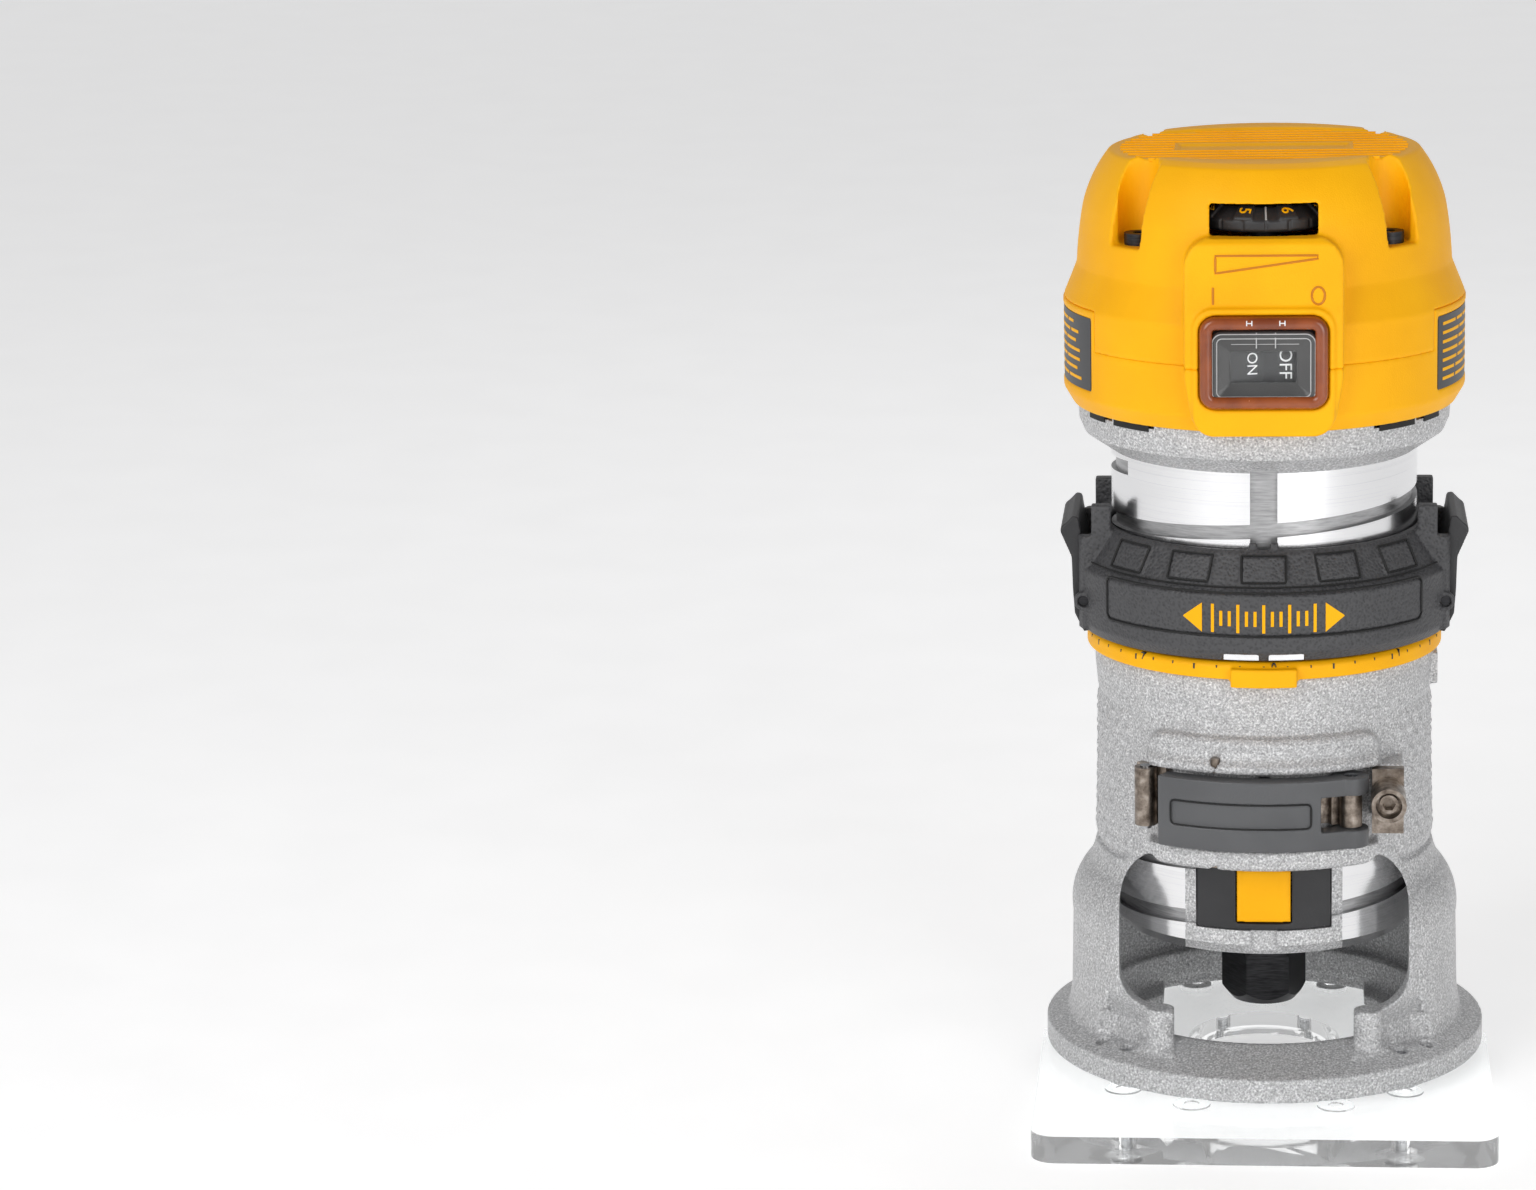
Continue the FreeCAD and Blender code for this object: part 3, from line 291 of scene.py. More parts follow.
def copper_winding():
    """Enamelled wire laid in strands."""
    made = Material("copper_winding", Metallic=0.9, Coat_Weight=0.4, Coat_Roughness=0.2)
    strands = made.node("ShaderNodeTexWave", {
        "Vector": made.place, "Scale": 420, "Distortion": 1.4, "Detail": 2.0})
    made.set("Base Color", made.ramp(strands, (0.1, linear(120, 58, 26)),
                                     (0.9, linear(214, 122, 66))))
    made.set("Roughness", made.span(strands, 0.0, 1.0, 0.42, 0.26))
    made.bump(strands, 0.0002)
    return made.data


def laminated_steel():
    """A stack of thin sheets, for the motor's iron."""
    made = Material("laminated_steel", Metallic=0.9)
    sheets = made.node("ShaderNodeTexWave", {"Vector": made.place, "Scale": 320},
                       bands_direction="Z")
    made.set("Base Color", made.ramp(sheets, (0.1, linear(70, 72, 76)),
                                     (0.9, linear(132, 134, 138))))
    made.set("Roughness", made.span(sheets, 0.0, 1.0, 0.5, 0.36))
    made.bump(sheets, 0.0001)
    return made.data


def board_laminate():
    """Green fibreglass with its weave showing through."""
    made = Material("board_laminate", Coat_Weight=0.3)
    weave = made.node("ShaderNodeTexChecker", {"Vector": made.place, "Scale": 900}, output=1)
    fibres = made.noise(900, 2.0)
    made.set("Base Color", made.mix(made.maths("MULTIPLY", weave, fibres), linear(22, 84, 44),
                                    linear(40, 116, 62)))
    made.set("Roughness", made.span(fibres, 0.3, 0.7, 0.4, 0.5))
    made.bump(fibres, 0.00003)
    return made.data


YELLOW = fine_plastic("yellow_moulding", linear(248, 176, 2), linear(254, 184, 4), 0.5, gloss=0.2)
BLACK = fine_plastic("black_moulding", linear(36, 36, 38), linear(46, 46, 48), 0.46)
LEVER = fine_plastic("grey_moulding", linear(76, 77, 79), linear(86, 87, 89), 0.40)
CAST = sand_cast()
TURNED = turned_metal()
RUBBER = leathery_rubber()
BROWNED = browned_steel()
BLACKED = black_oxide()
# The plate's faint emission is painted light.
CLEAR = clear_plastic("clear_polycarbonate", (0.97, 0.98, 0.98, 1), 0.03, painted_glow=0.045)
BOOT = clear_plastic("clear_boot", (0.97, 0.98, 0.98, 1), 0.02)
AMBER = amber_plastic()
LABEL = label_film()
STEEL = metal("machined_steel", linear(140, 142, 145), linear(205, 206, 208), 0.28)
BRASS = metal("brass", linear(160, 118, 48), linear(220, 178, 96), 0.3)
CARBON = fine_plastic("carbon_brush", linear(30, 30, 32), linear(52, 52, 54), 0.5, 0.0001)
COPPER = copper_winding()
IRON = laminated_steel()
BOARD = board_laminate()
WHITE = fine_plastic("white_print", linear(225, 225, 225), linear(240, 240, 240), 0.45)
SHADOW = fine_plastic("shadow_line", linear(8, 8, 8), linear(14, 14, 14), 0.6)
# A darker copy of the yellow moulding: painted shade for engraved lines.
ENGRAVING_SHADE = fine_plastic("engraving_shade_yellow", linear(196, 120, 8), linear(206, 128, 12), 0.5)
# Painted reflection and shade for the clear boot's sloping wall.
BOOT_WALL_REFLECTION = fine_plastic("boot_wall_reflection", linear(62, 62, 62), linear(78, 78, 78), 0.2)
# Light grey lines: painted highlights on the switch boot, and the dial's real index mark.
HIGHLIGHT_AND_INDEX = fine_plastic("highlight_and_index_line", linear(170, 170, 170), linear(190, 190, 190), 0.3)
# A darker copy of the turned metal: painted shade for the barrel's groove.
GROOVE_SHADE = metal("groove_shaded_metal", linear(150, 150, 151), linear(190, 190, 191), 0.36)
FINISH_OF_SLOT = {
    "cast_aluminium": CAST, "machined_aluminium": TURNED, "yellow_plastic": YELLOW,
    "black_plastic": BLACK, "black_rubber": RUBBER, "lever_plastic": LEVER,
    "amber_plastic": AMBER, "clear_plastic": CLEAR, "steel": STEEL, "dark_steel": BROWNED,
    "black_oxide": BLACKED, "copper": COPPER, "carbon": CARBON, "brass_part": BRASS,
    "board_green": BOARD, "label": LABEL,
}
FINISH_OF_NODE = {"stator_core": IRON, "rotor_core": IRON, "switch_boot": BOOT}


def paint(piece, *finishes):
    """Give a piece these materials and no others."""
    piece.data.materials.clear()
    for finish in finishes:
        piece.data.materials.append(finish)


for name, piece in NODES.items():
    paint(piece, FINISH_OF_NODE.get(name, FINISH_OF_SLOT[SLOT_OF[name]]))


# ------------------------------------------------------------------ mesh tools
def at(x, y, z):
    """A point given in millimetres."""
    return Vector((x, y, z)) * MM


def round_axis(radius, azimuth, z):
    """A point in millimetres on a circle about the spindle axis."""
    turn = math.radians(azimuth)
    return at(radius * math.sin(turn), -radius * math.cos(turn), z)


def linked(name, data):
    """A new object in the scene."""
    made = bpy.data.objects.new(name, data)
    bpy.context.scene.collection.objects.link(made)
    return made


def from_bmesh(name, built):
    """An object from a bmesh, its faces turned outwards."""
    mesh = bpy.data.meshes.new(name)
    bmesh.ops.recalc_face_normals(built, faces=built.faces)
    built.to_mesh(mesh)
    built.free()
    return linked(name, mesh)


def copy_of(node, name):
    """A new piece with a CAD node's shape, its seams joined."""
    built = bmesh.new()
    built.from_mesh(NODES[node].data)
    bmesh.ops.remove_doubles(built, verts=built.verts, dist=1e-6)
    return from_bmesh(name, built)


def apply(piece, kind, **settings):
    """Run one modifier on a piece and keep its result."""
    modifier = piece.modifiers.new(kind, kind)
    for key, value in settings.items():
        setattr(modifier, key, value)
    graph = bpy.context.evaluated_depsgraph_get()
    mesh = bpy.data.meshes.new_from_object(piece.evaluated_get(graph))
    piece.modifiers.clear()
    piece.data = mesh


def combine(piece, operation, *tools):
    """Run one boolean on a piece with each tool in turn, and delete the tools."""
    for tool in tools:
        apply(piece, "BOOLEAN", object=tool, operation=operation, solver="MANIFOLD")
        bpy.data.objects.remove(tool)


def cut(piece, *tools):
    """Take the tools' shapes out of a piece."""
    combine(piece, "DIFFERENCE", *tools)


def soften(piece, voxel, rounds, most=180000):
    """Round every edge: an even mesh of small faces, smoothed, thinned to a face budget."""
    apply(piece, "REMESH", mode="VOXEL", voxel_size=voxel * MM, adaptivity=0.0)
    apply(piece, "SMOOTH", factor=0.5, iterations=rounds)
    triangles = 2 * len(piece.data.polygons)
    if triangles > most:
        apply(piece, "DECIMATE", ratio=most / triangles)
    piece.data.shade_smooth()


def shell(rows, closed_rows=False, closed_columns=True, caps=False):
    """A mesh from rows of points, each row joined to the next."""
    built = bmesh.new()
    grid = [[built.verts.new(point) for point in row] for row in rows]
    count = len(rows[0])
    row_total = len(rows) if closed_rows else len(rows) - 1
    column_total = count if closed_columns else count - 1
    for i in range(row_total):
        for j in range(column_total):
            following, beside = (i + 1) % len(rows), (j + 1) % count
            built.faces.new((grid[i][j], grid[i][beside], grid[following][beside],
                             grid[following][j]))
    if caps:
        built.faces.new(grid[0])
        built.faces.new(grid[-1])
    return built


def lathe(profile, start=0.0, end=360.0, step=3.0):
    """A solid turned about the spindle axis; the profile is a closed loop of (radius, z)."""
    full = end - start >= 360
    count = max(2, round((end - start) / step))
    stations = [start + (end - start) * i / count for i in range(count + (not full))]
    rows = [[round_axis(radius, azimuth, z) for radius, z in profile] for azimuth in stations]
    return from_bmesh("tool", shell(rows, closed_rows=full, caps=not full))


def arc_block(inner, outer, start, end, low, high):
    """A block bent about the spindle axis, between two radii, azimuths and heights."""
    return lathe([(inner, low), (outer, low), (outer, high), (inner, high)], start, end, 2.0)


def tube(path, radius, closed=True, sides=8):
    """A round bar along a path of points in metres, for grooves and beads."""
    rows = []
    count = len(path)
    for i, point in enumerate(path):
        before = path[i - 1] if closed or i else point
        after = path[(i + 1) % count] if closed or i < count - 1 else point
        along = (after - before).normalized()
        side = along.cross(Vector((0, 0, 1)))
        if side.length < 0.1:
            side = along.cross(Vector((point.x, point.y, 0)).normalized())
        side.normalize()
        lift = side.cross(along).normalized()
        rows.append([point + (side * math.cos(t) + lift * math.sin(t)) * radius * MM
                     for t in (2 * math.pi * k / sides for k in range(sides))])
    return from_bmesh("tool", shell(rows, closed_rows=closed, caps=not closed))


def round_corners(left, right, low, high, corner, steps):
    """Points (across, up) round a rectangle whose corners are arcs of so many steps."""
    points = []
    spots = [(right - corner, low + corner, -90), (right - corner, high - corner, 0),
             (left + corner, high - corner, 90), (left + corner, low + corner, 180)]
    for x, y, start in spots:
        for k in range(steps + 1):
            turn = math.radians(start + 90 * k / steps)
            points.append((x + corner * math.cos(turn), y + corner * math.sin(turn)))
    return points


def rounded_loop(left, right, low, high, corner, step=1.0):
    """Points (across, up) round a rectangle with rounded corners, about a step apart."""
    return dense(round_corners(left, right, low, high, corner, 4), True, step)


def brick(x0, x1, y0, y1, z0, z1):
    """A small square block between limits in millimetres."""
    built = bmesh.new()
    bmesh.ops.create_cube(built, size=1.0)
    built.transform(Matrix.Translation(at((x0 + x1) / 2, (y0 + y1) / 2, (z0 + z1) / 2))
                    @ Matrix.Diagonal((*at(x1 - x0, y1 - y0, z1 - z0), 1)))
    return from_bmesh("tool", built)


def rod(start, end, radius, sides=24):
    """A round bar between two points in metres."""
    along = end - start
    built = bmesh.new()
    bmesh.ops.create_cone(built, cap_ends=True, segments=sides, radius1=radius * MM,
                          radius2=radius * MM, depth=along.length)
    built.transform(Matrix.Translation((start + end) / 2)
                    @ along.to_track_quat("Z", "Y").to_matrix().to_4x4())
    return from_bmesh("tool", built)


def joined(name, pieces):
    """One piece out of several."""
    built = bmesh.new()
    for piece in pieces:
        built.from_mesh(piece.data)
        bpy.data.objects.remove(piece)
    return from_bmesh(name, built)


def finish(piece, node, finish_material, slot=None):
    """Set a piece in place of one CAD node: its body and its finish."""
    paint(piece, finish_material)
    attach(piece, BODY_OF[node])
    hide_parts(node)


def trim(piece, body, finish_material):
    """A small added piece that stands for no node of its own."""
    paint(piece, finish_material)
    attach(piece, body)


def lettering(text, height, thickness):
    """Raised figures in the XY plane, centred on the origin, as a mesh."""
    curve = bpy.data.curves.new("figures", "FONT")
    curve.body = text
    curve.size = height * MM * 1.4
    curve.extrude = thickness * MM / 2
    curve.align_x, curve.align_y = "CENTER", "CENTER"
    carrier = linked("figures", curve)
    graph = bpy.context.evaluated_depsgraph_get()
    mesh = bpy.data.meshes.new_from_object(carrier.evaluated_get(graph))
    bpy.data.objects.remove(carrier)
    return linked("tool", mesh)


def mm_box(node):
    """A node's box in millimetres: its low corner and its high corner."""
    low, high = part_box(node)
    return low / MM, high / MM


def crisp(piece, angle=32):
    """Shade a piece smooth but for its real edges."""
    built = bmesh.new()
    built.from_mesh(piece.data)
    for face in built.faces:
        face.smooth = True
    for edge in built.edges:
        sharp = len(edge.link_faces) != 2 or edge.calc_face_angle(0) > math.radians(angle)
        edge.smooth = not sharp
    built.to_mesh(piece.data)
    built.free()


def dense(points, closed, step):
    """A flat path with points added so that none is farther than a step from the next."""
    filled = []
    ends = zip(points, points[1:] + points[:1]) if closed else zip(points, points[1:])
    for (x0, y0), (x1, y1) in ends:
        parts = max(1, round(math.hypot(x1 - x0, y1 - y0) / step))
        filled += [(x0 + (x1 - x0) * k / parts, y0 + (y1 - y0) * k / parts)
                   for k in range(parts)]
    return filled if closed else filled + [points[-1]]


def wrapped(loop, radius, azimuth=0.0, base=0.0):
    """Points (across, up) in millimetres laid on a cylinder about the spindle axis."""
    return [round_axis(radius, azimuth + math.degrees(across / radius), base + up)
            for across, up in loop]


def stand(piece, place, azimuth=0.0, downwards=False):
    """Set flat figures upright, facing outwards, or reading downwards."""
    if downwards:
        upright = Matrix(((0, 1, 0, 0), (0, 0, -1, 0), (-1, 0, 0, 0), (0, 0, 0, 1)))
    else:
        upright = Matrix(((1, 0, 0, 0), (0, 0, -1, 0), (0, 1, 0, 0), (0, 0, 0, 1)))
    turn = Matrix.Rotation(math.radians(azimuth), 4, "Z")
    piece.data.transform(Matrix.Translation(place) @ turn @ upright)
    return piece


def lay_shadow_lines(name, body, paths, radius=0.2, closed=True):
    """Fine dark lines laid along paths, as painted shadow lines of moulded outlines."""
    lines = [tube(path, radius, closed, 6) for path in paths]
    trim(joined(name, lines), body, SHADOW)


def ball(place, radius):
    """A ball round a point in metres."""
    built = bmesh.new()
    bmesh.ops.create_icosphere(built, subdivisions=2, radius=radius * MM)
    built.transform(Matrix.Translation(place))
    return from_bmesh("tool", built)


# ------------------------------------------------------------------ depth ring and its tabs
RING_LOW, RING_HIGH = mm_box("depth_ring")
RING_FACE = RING_HIGH.y
PAD_PITCH = 24
PADS = [azimuth for azimuth in range(-168, 169, PAD_PITCH)
        if abs(abs(azimuth) - 90) > PAD_PITCH]


def pad_outline(azimuth):
    """The outline of one raised pad, laid on the cone above the ring's shoulder."""
    foot_radius, foot_level = 41.6, RING_LOW.z + 17.6
    crown_radius, crown_level = 38.5, RING_LOW.z + 23.1
    half_width = 4.9
    path = []
    for across, up in rounded_loop(-half_width, half_width, 0.0, 1.0, 0.14, 0.5):
        reach = foot_radius + (crown_radius - foot_radius) * up
        path.append(round_axis(reach, azimuth + math.degrees(across / reach),
                               foot_level + (crown_level - foot_level) * up))
    return path


def pivot_boss(side, end, level):
    """The eye at one end of a release tab's hinge pin."""
    x = 40.4 * side
    boss = rod(at(x, 15.2 * end, level), at(x, 17.2 * end, level), 2.2)
    cut(boss, rod(at(x, 14.0 * end, level), at(x, 18.0 * end, level), 1.3))
    return boss


def make_depth_ring():
    """The rubbery ring: pads and panels outlined by grooves and painted shadow lines, pin eyes, and
    a bare metal lip at the front.
    """
    base = RING_LOW.z
    piece = copy_of("depth_ring", "depth_ring_body")
    outlines = [pad_outline(azimuth) for azimuth in PADS]
    for azimuth in (0, 180):
        panel = rounded_loop(-40.5, 40.5, 5.9, 15.7, 1.6)
        outlines.append(wrapped(panel, RING_FACE, azimuth, base))
    cut(piece, joined("tool", [tube(path, 0.42) for path in outlines]))
    # Dark tubes along the grooves and along the shoulder: painted shadow.
    lay_shadow_lines("ring_outline_shadows", "ring", outlines, 0.24)
    shoulders = [[round_axis(42.15, middle + turn, base + 16.75) for turn in range(-66, 67, 2)]
                 for middle in (0, 180)]
    lay_shadow_lines("ring_shoulder_shadow", "ring", shoulders, 0.2, closed=False)

    extras = []
    pins_low, pins_high = mm_box("tab_pins")
    pin_level = (pins_low.z + pins_high.z) / 2
    rim = base + 24.6
    for side in (-1, 1):
        start, end = sorted((1.3 * side, 12.4 * side))
        cut(piece, arc_block(40.9, 46, start, end, base - 1, base + 1.6))
        extras.append(brick(*sorted((1.4 * side, 3.2 * side)), -36.6, -35.2,
                            rim - 2.0, rim + 0.8))
        for azimuth in (40 * side, 140 * side):
            cut(piece, rod(round_axis(35, azimuth, rim), round_axis(38.5, azimuth, rim), 1.1))
        extras += [pivot_boss(side, end, pin_level) for end in (-1, 1)]
    piece = joined("depth_ring_body", [piece] + extras)
    soften(piece, voxel=0.34, rounds=2, most=190000)
    finish(piece, "depth_ring", RUBBER)

    lips = [arc_block(39.2, 41.6, *sorted((1.5 * side, 12.2 * side)), base + 0.15, base + 1.5)
            for side in (-1, 1)]
    trim(joined("ring_lower_insert", lips), "ring", TURNED)


def make_ring_mark():
    """A plain mark for turning either way: graduations between two arrowheads."""
    middle = RING_LOW.z + 9.9
    inner, outer = RING_FACE - 0.25, RING_FACE + 0.1
    pitch, half_stroke = 2.5, 0.45
    marks = []
    for step in range(-6, 7):
        tall = 3.2 if step % 3 == 0 else 1.7
        marks.append(arc_block(inner, outer, pitch * step - half_stroke,
                               pitch * step + half_stroke, middle - tall, middle + tall))
    blunt, tip = (18.2, 3.3), (24.0, 0.1)
    for side in (-1, 1):
        rows = [[round_axis(reach, azimuth * side, middle + rise)
                 for reach, rise in ((inner, -tall), (outer, -tall), (outer, tall),
                                     (inner, tall))]
                for azimuth, tall in (blunt, tip)]
        marks.append(from_bmesh("tool", shell(rows, caps=True)))
    trim(joined("ring_turn_mark", marks), "ring", YELLOW)


def make_release_tab(side, node):
    """A sprung catch: three finger grooves above a framed panel."""
    low, high = mm_box(node)
    half = high.y - 2.2
    piece = copy_of(node, node + "_grip")
    slope = 0.43
    for rise in (19.5, 21.1, 22.7):
        reach = 43.2 + slope * (rise - 17.3)
        path = [at(reach * side, y, low.z + rise) for y in range(-10, 11, 2)]
        cut(piece, tube(path, 0.4, closed=False))
    path = [at((43.0 + 0.2 * (up - 10.3) / 7.0) * side, across, low.z + up)
            for across, up in rounded_loop(-half, half, 6.9, 16.7, 1.6)]
    cut(piece, tube(path, 0.4))
    soften(piece, voxel=0.34, rounds=3)
    finish(piece, node, BLACK)


# ------------------------------------------------------------------ scale ring
def make_scale_ring():
    """The yellow band, with one long and two short strokes to each division, and figures."""
    high = mm_box("scale_ring")[1]
    radius, top = high.x, high.z - 1.1
    piece = copy_of("scale_ring", "scale_ring_band")
    soften(piece, voxel=0.34, rounds=2)
    finish(piece, "scale_ring", YELLOW)
    divisions = 16
    marks = []
    for step in range(divisions):
        azimuth = 360 / divisions * step
        for turn, half, drop in ((0.0, 0.3, 0.9), (7.5, 0.2, 0.3), (15.0, 0.2, 0.3)):
            marks.append(arc_block(radius - 0.8, radius + 0.03, azimuth + turn - half,
                                   azimuth + turn + half, top - drop, top + 0.3))
        if step % 2 == 0:
            beside = azimuth + 3.2
            figure = lettering(str(step // 2), 1.7, 0.8)
            marks.append(stand(figure, round_axis(radius - 0.35, beside, top + 0.1), beside))
    trim(joined("scale_marks", marks), "scale", BLACK)


# ------------------------------------------------------------------ base casting
CASTING_FOOT = mm_box("base_casting")[0].z


def make_base_casting():
    """The casting, with rows of dimples inside an outlined field on each side."""
    piece = copy_of("base_casting", "base_casting_body")
    rows, columns, pitch, column_turn = 12, 5, 2.7, 7.2
    dimple = 1.75
    bumps = []
    for middle in (-90, 90):
        outline = rounded_loop(-26.0, 26.0, 48.8, 84.1, 5.0)
        cut(piece, tube(wrapped(outline, 38.1, middle, CASTING_FOOT), 0.7))
        for row in range(rows):
            rise = 51.8 + pitch * row
            waist = 38.15 - 0.55 * math.sin(math.pi * (rise - 50.8) / 62)
            for column in range(-columns, columns + 1):
                azimuth = middle + column_turn * (column + (0.5 if row % 2 else 0.0))
                if abs(azimuth - middle) < 37:
                    place = round_axis(waist - 1.0, azimuth, CASTING_FOOT + rise)
                    bumps.append(ball(place, dimple))
    dotted = joined("base_casting_body", [piece] + bumps)
    soften(dotted, voxel=0.46, rounds=2, most=195000)
    finish(dotted, "base_casting", CAST)


def make_sub_base_bosses():
    """Low clear rings on the plate, just outside the casting's foot."""
    low, high = CASTING_FOOT - 0.1, CASTING_FOOT + 0.3
    rings = []
    for side in (-1, 1):
        for x, y in ((31.5, -40.6), (16.0, -50.7)):
            ring = lathe([(1.6, low), (4.2, low), (4.1, high), (1.7, high)])
            ring.data.transform(Matrix.Translation(at(x * side, y, 0)))
            rings.append(ring)
    trim(joined("sub_base_bosses", rings), "base", CLEAR)


# ------------------------------------------------------------------ clamp lever, lock and nut
NUT_TURN = -24


def make_lever():
    """The lever's grip, with a panel along its face outlined by a groove and a painted shadow line.
    """
    low = mm_box("clamp_lever")[0]
    piece = copy_of("clamp_lever", "clamp_lever_grip")
    loop = wrapped(rounded_loop(-21.4, 10.5, 5.4, 10.9, 1.0), 45.48, 0, low.z)
    cut(piece, tube(loop, 0.36))
    soften(piece, voxel=0.3, rounds=2)
    finish(piece, "clamp_lever", LEVER)
    # A dark tube along the groove: painted shadow.
    lay_shadow_lines("lever_outline_shadow", "lever", [loop], 0.2)


def make_lock_and_nut():
    """The spindle lock's button and surround, and the nut turned as it stands in view."""
    for name, finish_material in (("lock_button", YELLOW), ("lock_insert", BLACK)):
        part = copy_of(name, name + "_face")
        soften(part, voxel=0.3, rounds=3, most=60000)
        finish(part, name, finish_material)
    nut = copy_of("collet_nut", "collet_nut_turned")
    nut.data.transform(Matrix.Rotation(math.radians(NUT_TURN), 4, "Z"))
    crisp(nut)
    finish(nut, "collet_nut", BLACKED)


# ------------------------------------------------------------------ cap
CAP_TOP = mm_box("top_cap")[1].z
BEZEL_LOW, BEZEL_HIGH = mm_box("switch_bezel")
LENS_RADIUS = 56
LENS_SHIFT = 31


def panel_face(z):
    """The raised front panel's y at a height, in millimetres."""
    return -46.1 + max(0.0, z - BEZEL_HIGH.z) * 0.193


def make_top_cap():
    """The upper shell, with a sunk lens-shaped field on top and its front inner faces painted black
    as shade.
    """
    piece = copy_of("top_cap", "top_cap_shell")
    low, high = CAP_TOP - 0.8, CAP_TOP + 2
    field = rod(at(0, LENS_SHIFT, low), at(0, LENS_SHIFT, high), LENS_RADIUS, 160)
    combine(field, "INTERSECT",
            rod(at(0, -LENS_SHIFT, low), at(0, -LENS_SHIFT, high), LENS_RADIUS, 160))
    cut(piece, field)
    cut(piece, brick(-19, 19, -5.2, 5.2, CAP_TOP - 1.5, CAP_TOP + 1))
    soften(piece, voxel=0.42, rounds=2, most=190000)
    finish(piece, "top_cap", YELLOW)
    # The inner faces in the front half get the black moulding: painted shade on the yellow shell.
    piece.data.materials.append(BLACK)
    for face in piece.data.polygons:
        x, y, z = face.center / MM
        inner = 38.6 - 0.42 * max(0.0, z - CAP_TOP + 13.1)
        face.material_index = int(abs(x) < 21 and y < -2 and z < CAP_TOP - 3.9
                                  and math.hypot(x, y) < inner)


def make_panel_symbols():
    """The speed wedge and the off and on signs, engraved above the switch, drawn in a darker yellow
    that is painted shade in the engraving.
    """
    level = BEZEL_HIGH.z
    wedge = [(-10.4, level + 12.6), (11.6, level + 12.6), (11.6, level + 11.9),
             (-10.4, level + 8.9)]
    stroke = [(-10.9, level + 5.9), (-10.9, level + 2.3)]
    circle = [(11.7 + 1.4 * math.cos(t), level + 4.1 + 1.85 * math.sin(t))
              for t in (2 * math.pi * k / 24 for k in range(24))]
    lines = []
    for path, closed in ((wedge, True), (stroke, False), (circle, True)):
        points = [at(x, panel_face(z), z) for x, z in dense(path, closed, 0.6)]
        lines.append(tube(points, 0.27, closed, 6))
    trim(joined("panel_symbols", lines), "motor", ENGRAVING_SHADE)


def make_cap_ribs():
    """Straight ribs across the sunk field, broken by the plate in its middle."""
    low, high = CAP_TOP - 1.1, CAP_TOP - 0.45
    edge = 19.8
    ribs = []
    for step in range(-6, 7):
        y = 3.8 * step
        half = min(math.sqrt(LENS_RADIUS ** 2 - (LENS_SHIFT + abs(y)) ** 2),
                   math.sqrt(32 ** 2 - y ** 2))
        spans = [(-half, -edge), (edge, half)] if abs(y) < 6 else [(-half, half)]
        for left, right in spans:
            if half > 4 and right - left > 1:
                ribs.append(brick(left, right, y - 0.35, y + 0.35, low, high))
    trim(joined("cap_top_ribs", ribs), "motor", YELLOW)


def make_cap_skirt():
    """The lower shell, its edges rounded as moulded."""
    piece = copy_of("cap_skirt", "cap_skirt_shell")
    soften(piece, voxel=0.42, rounds=2)
    finish(piece, "cap_skirt", YELLOW)


def make_vent_slot_shade():
    """Dark strips under the cap's lip: painted shade in the slots where the cooling air goes in."""
    lip = mm_box("cap_skirt")[0].z
    shade_strips = []
    for middle in (0, 180):
        for start, end in ((37, 52), (57, 67), (-52, -37), (-67, -57)):
            shade_strips.append(arc_block(41.0, 42.02, middle + start, middle + end, lip - 1.5,
                                   lip + 0.2))
    trim(joined("vent_slot_shade", shade_strips), "motor", SHADOW)


def make_label_lines():
    """Rows of short plain bars, where such a plate carries its rating."""
    top = mm_box("label_plates")[1].z - 2.2
    widths = (9, 6, 11, 5, 8, 12, 7, 10, 6, 9, 11, 5, 8)
    half_field, gap = 22.0, 1.3
    lines = []
    for middle in (-83, 83):
        for row in range(7):
            azimuth = middle - half_field
            level = top - 2.05 * row
            for count in range(6):
                width = widths[(5 * row + count) % len(widths)]
                if azimuth + width < middle + half_field:
                    lines.append(arc_block(44.7, 44.9, azimuth, azimuth + width, level,
                                           level + 0.7))
                azimuth += width + gap
    trim(joined("label_lines", lines), "motor", YELLOW)


# ------------------------------------------------------------------ switch
def framed(profile, low, high, corner):
    """Rounded rectangles in a box's front view, one for each (inset, depth) of a profile."""
    rows = []
    for inset, depth in profile:
        outline = round_corners(low.x + inset, high.x - inset, low.z + inset, high.z - inset,
                                max(0.4, corner - inset), 8)
        rows.append([at(x, low.y + depth, z) for x, z in outline])
    return rows


def make_switch_bezel():
    """The amber frame, turned over a rounded edge."""
    profile = [(0.05, 2.85), (0.05, 1.5), (0.45, 0.5), (1.0, 0.1), (1.9, 0.05), (2.6, 0.3),
               (2.95, 0.9), (2.95, 2.85)]
    rows = framed(profile, BEZEL_LOW, BEZEL_HIGH, 3.6)
    bezel = from_bmesh("switch_bezel_frame", shell(rows, closed_rows=True))
    crisp(bezel, 50)
    finish(bezel, "switch_bezel", AMBER)


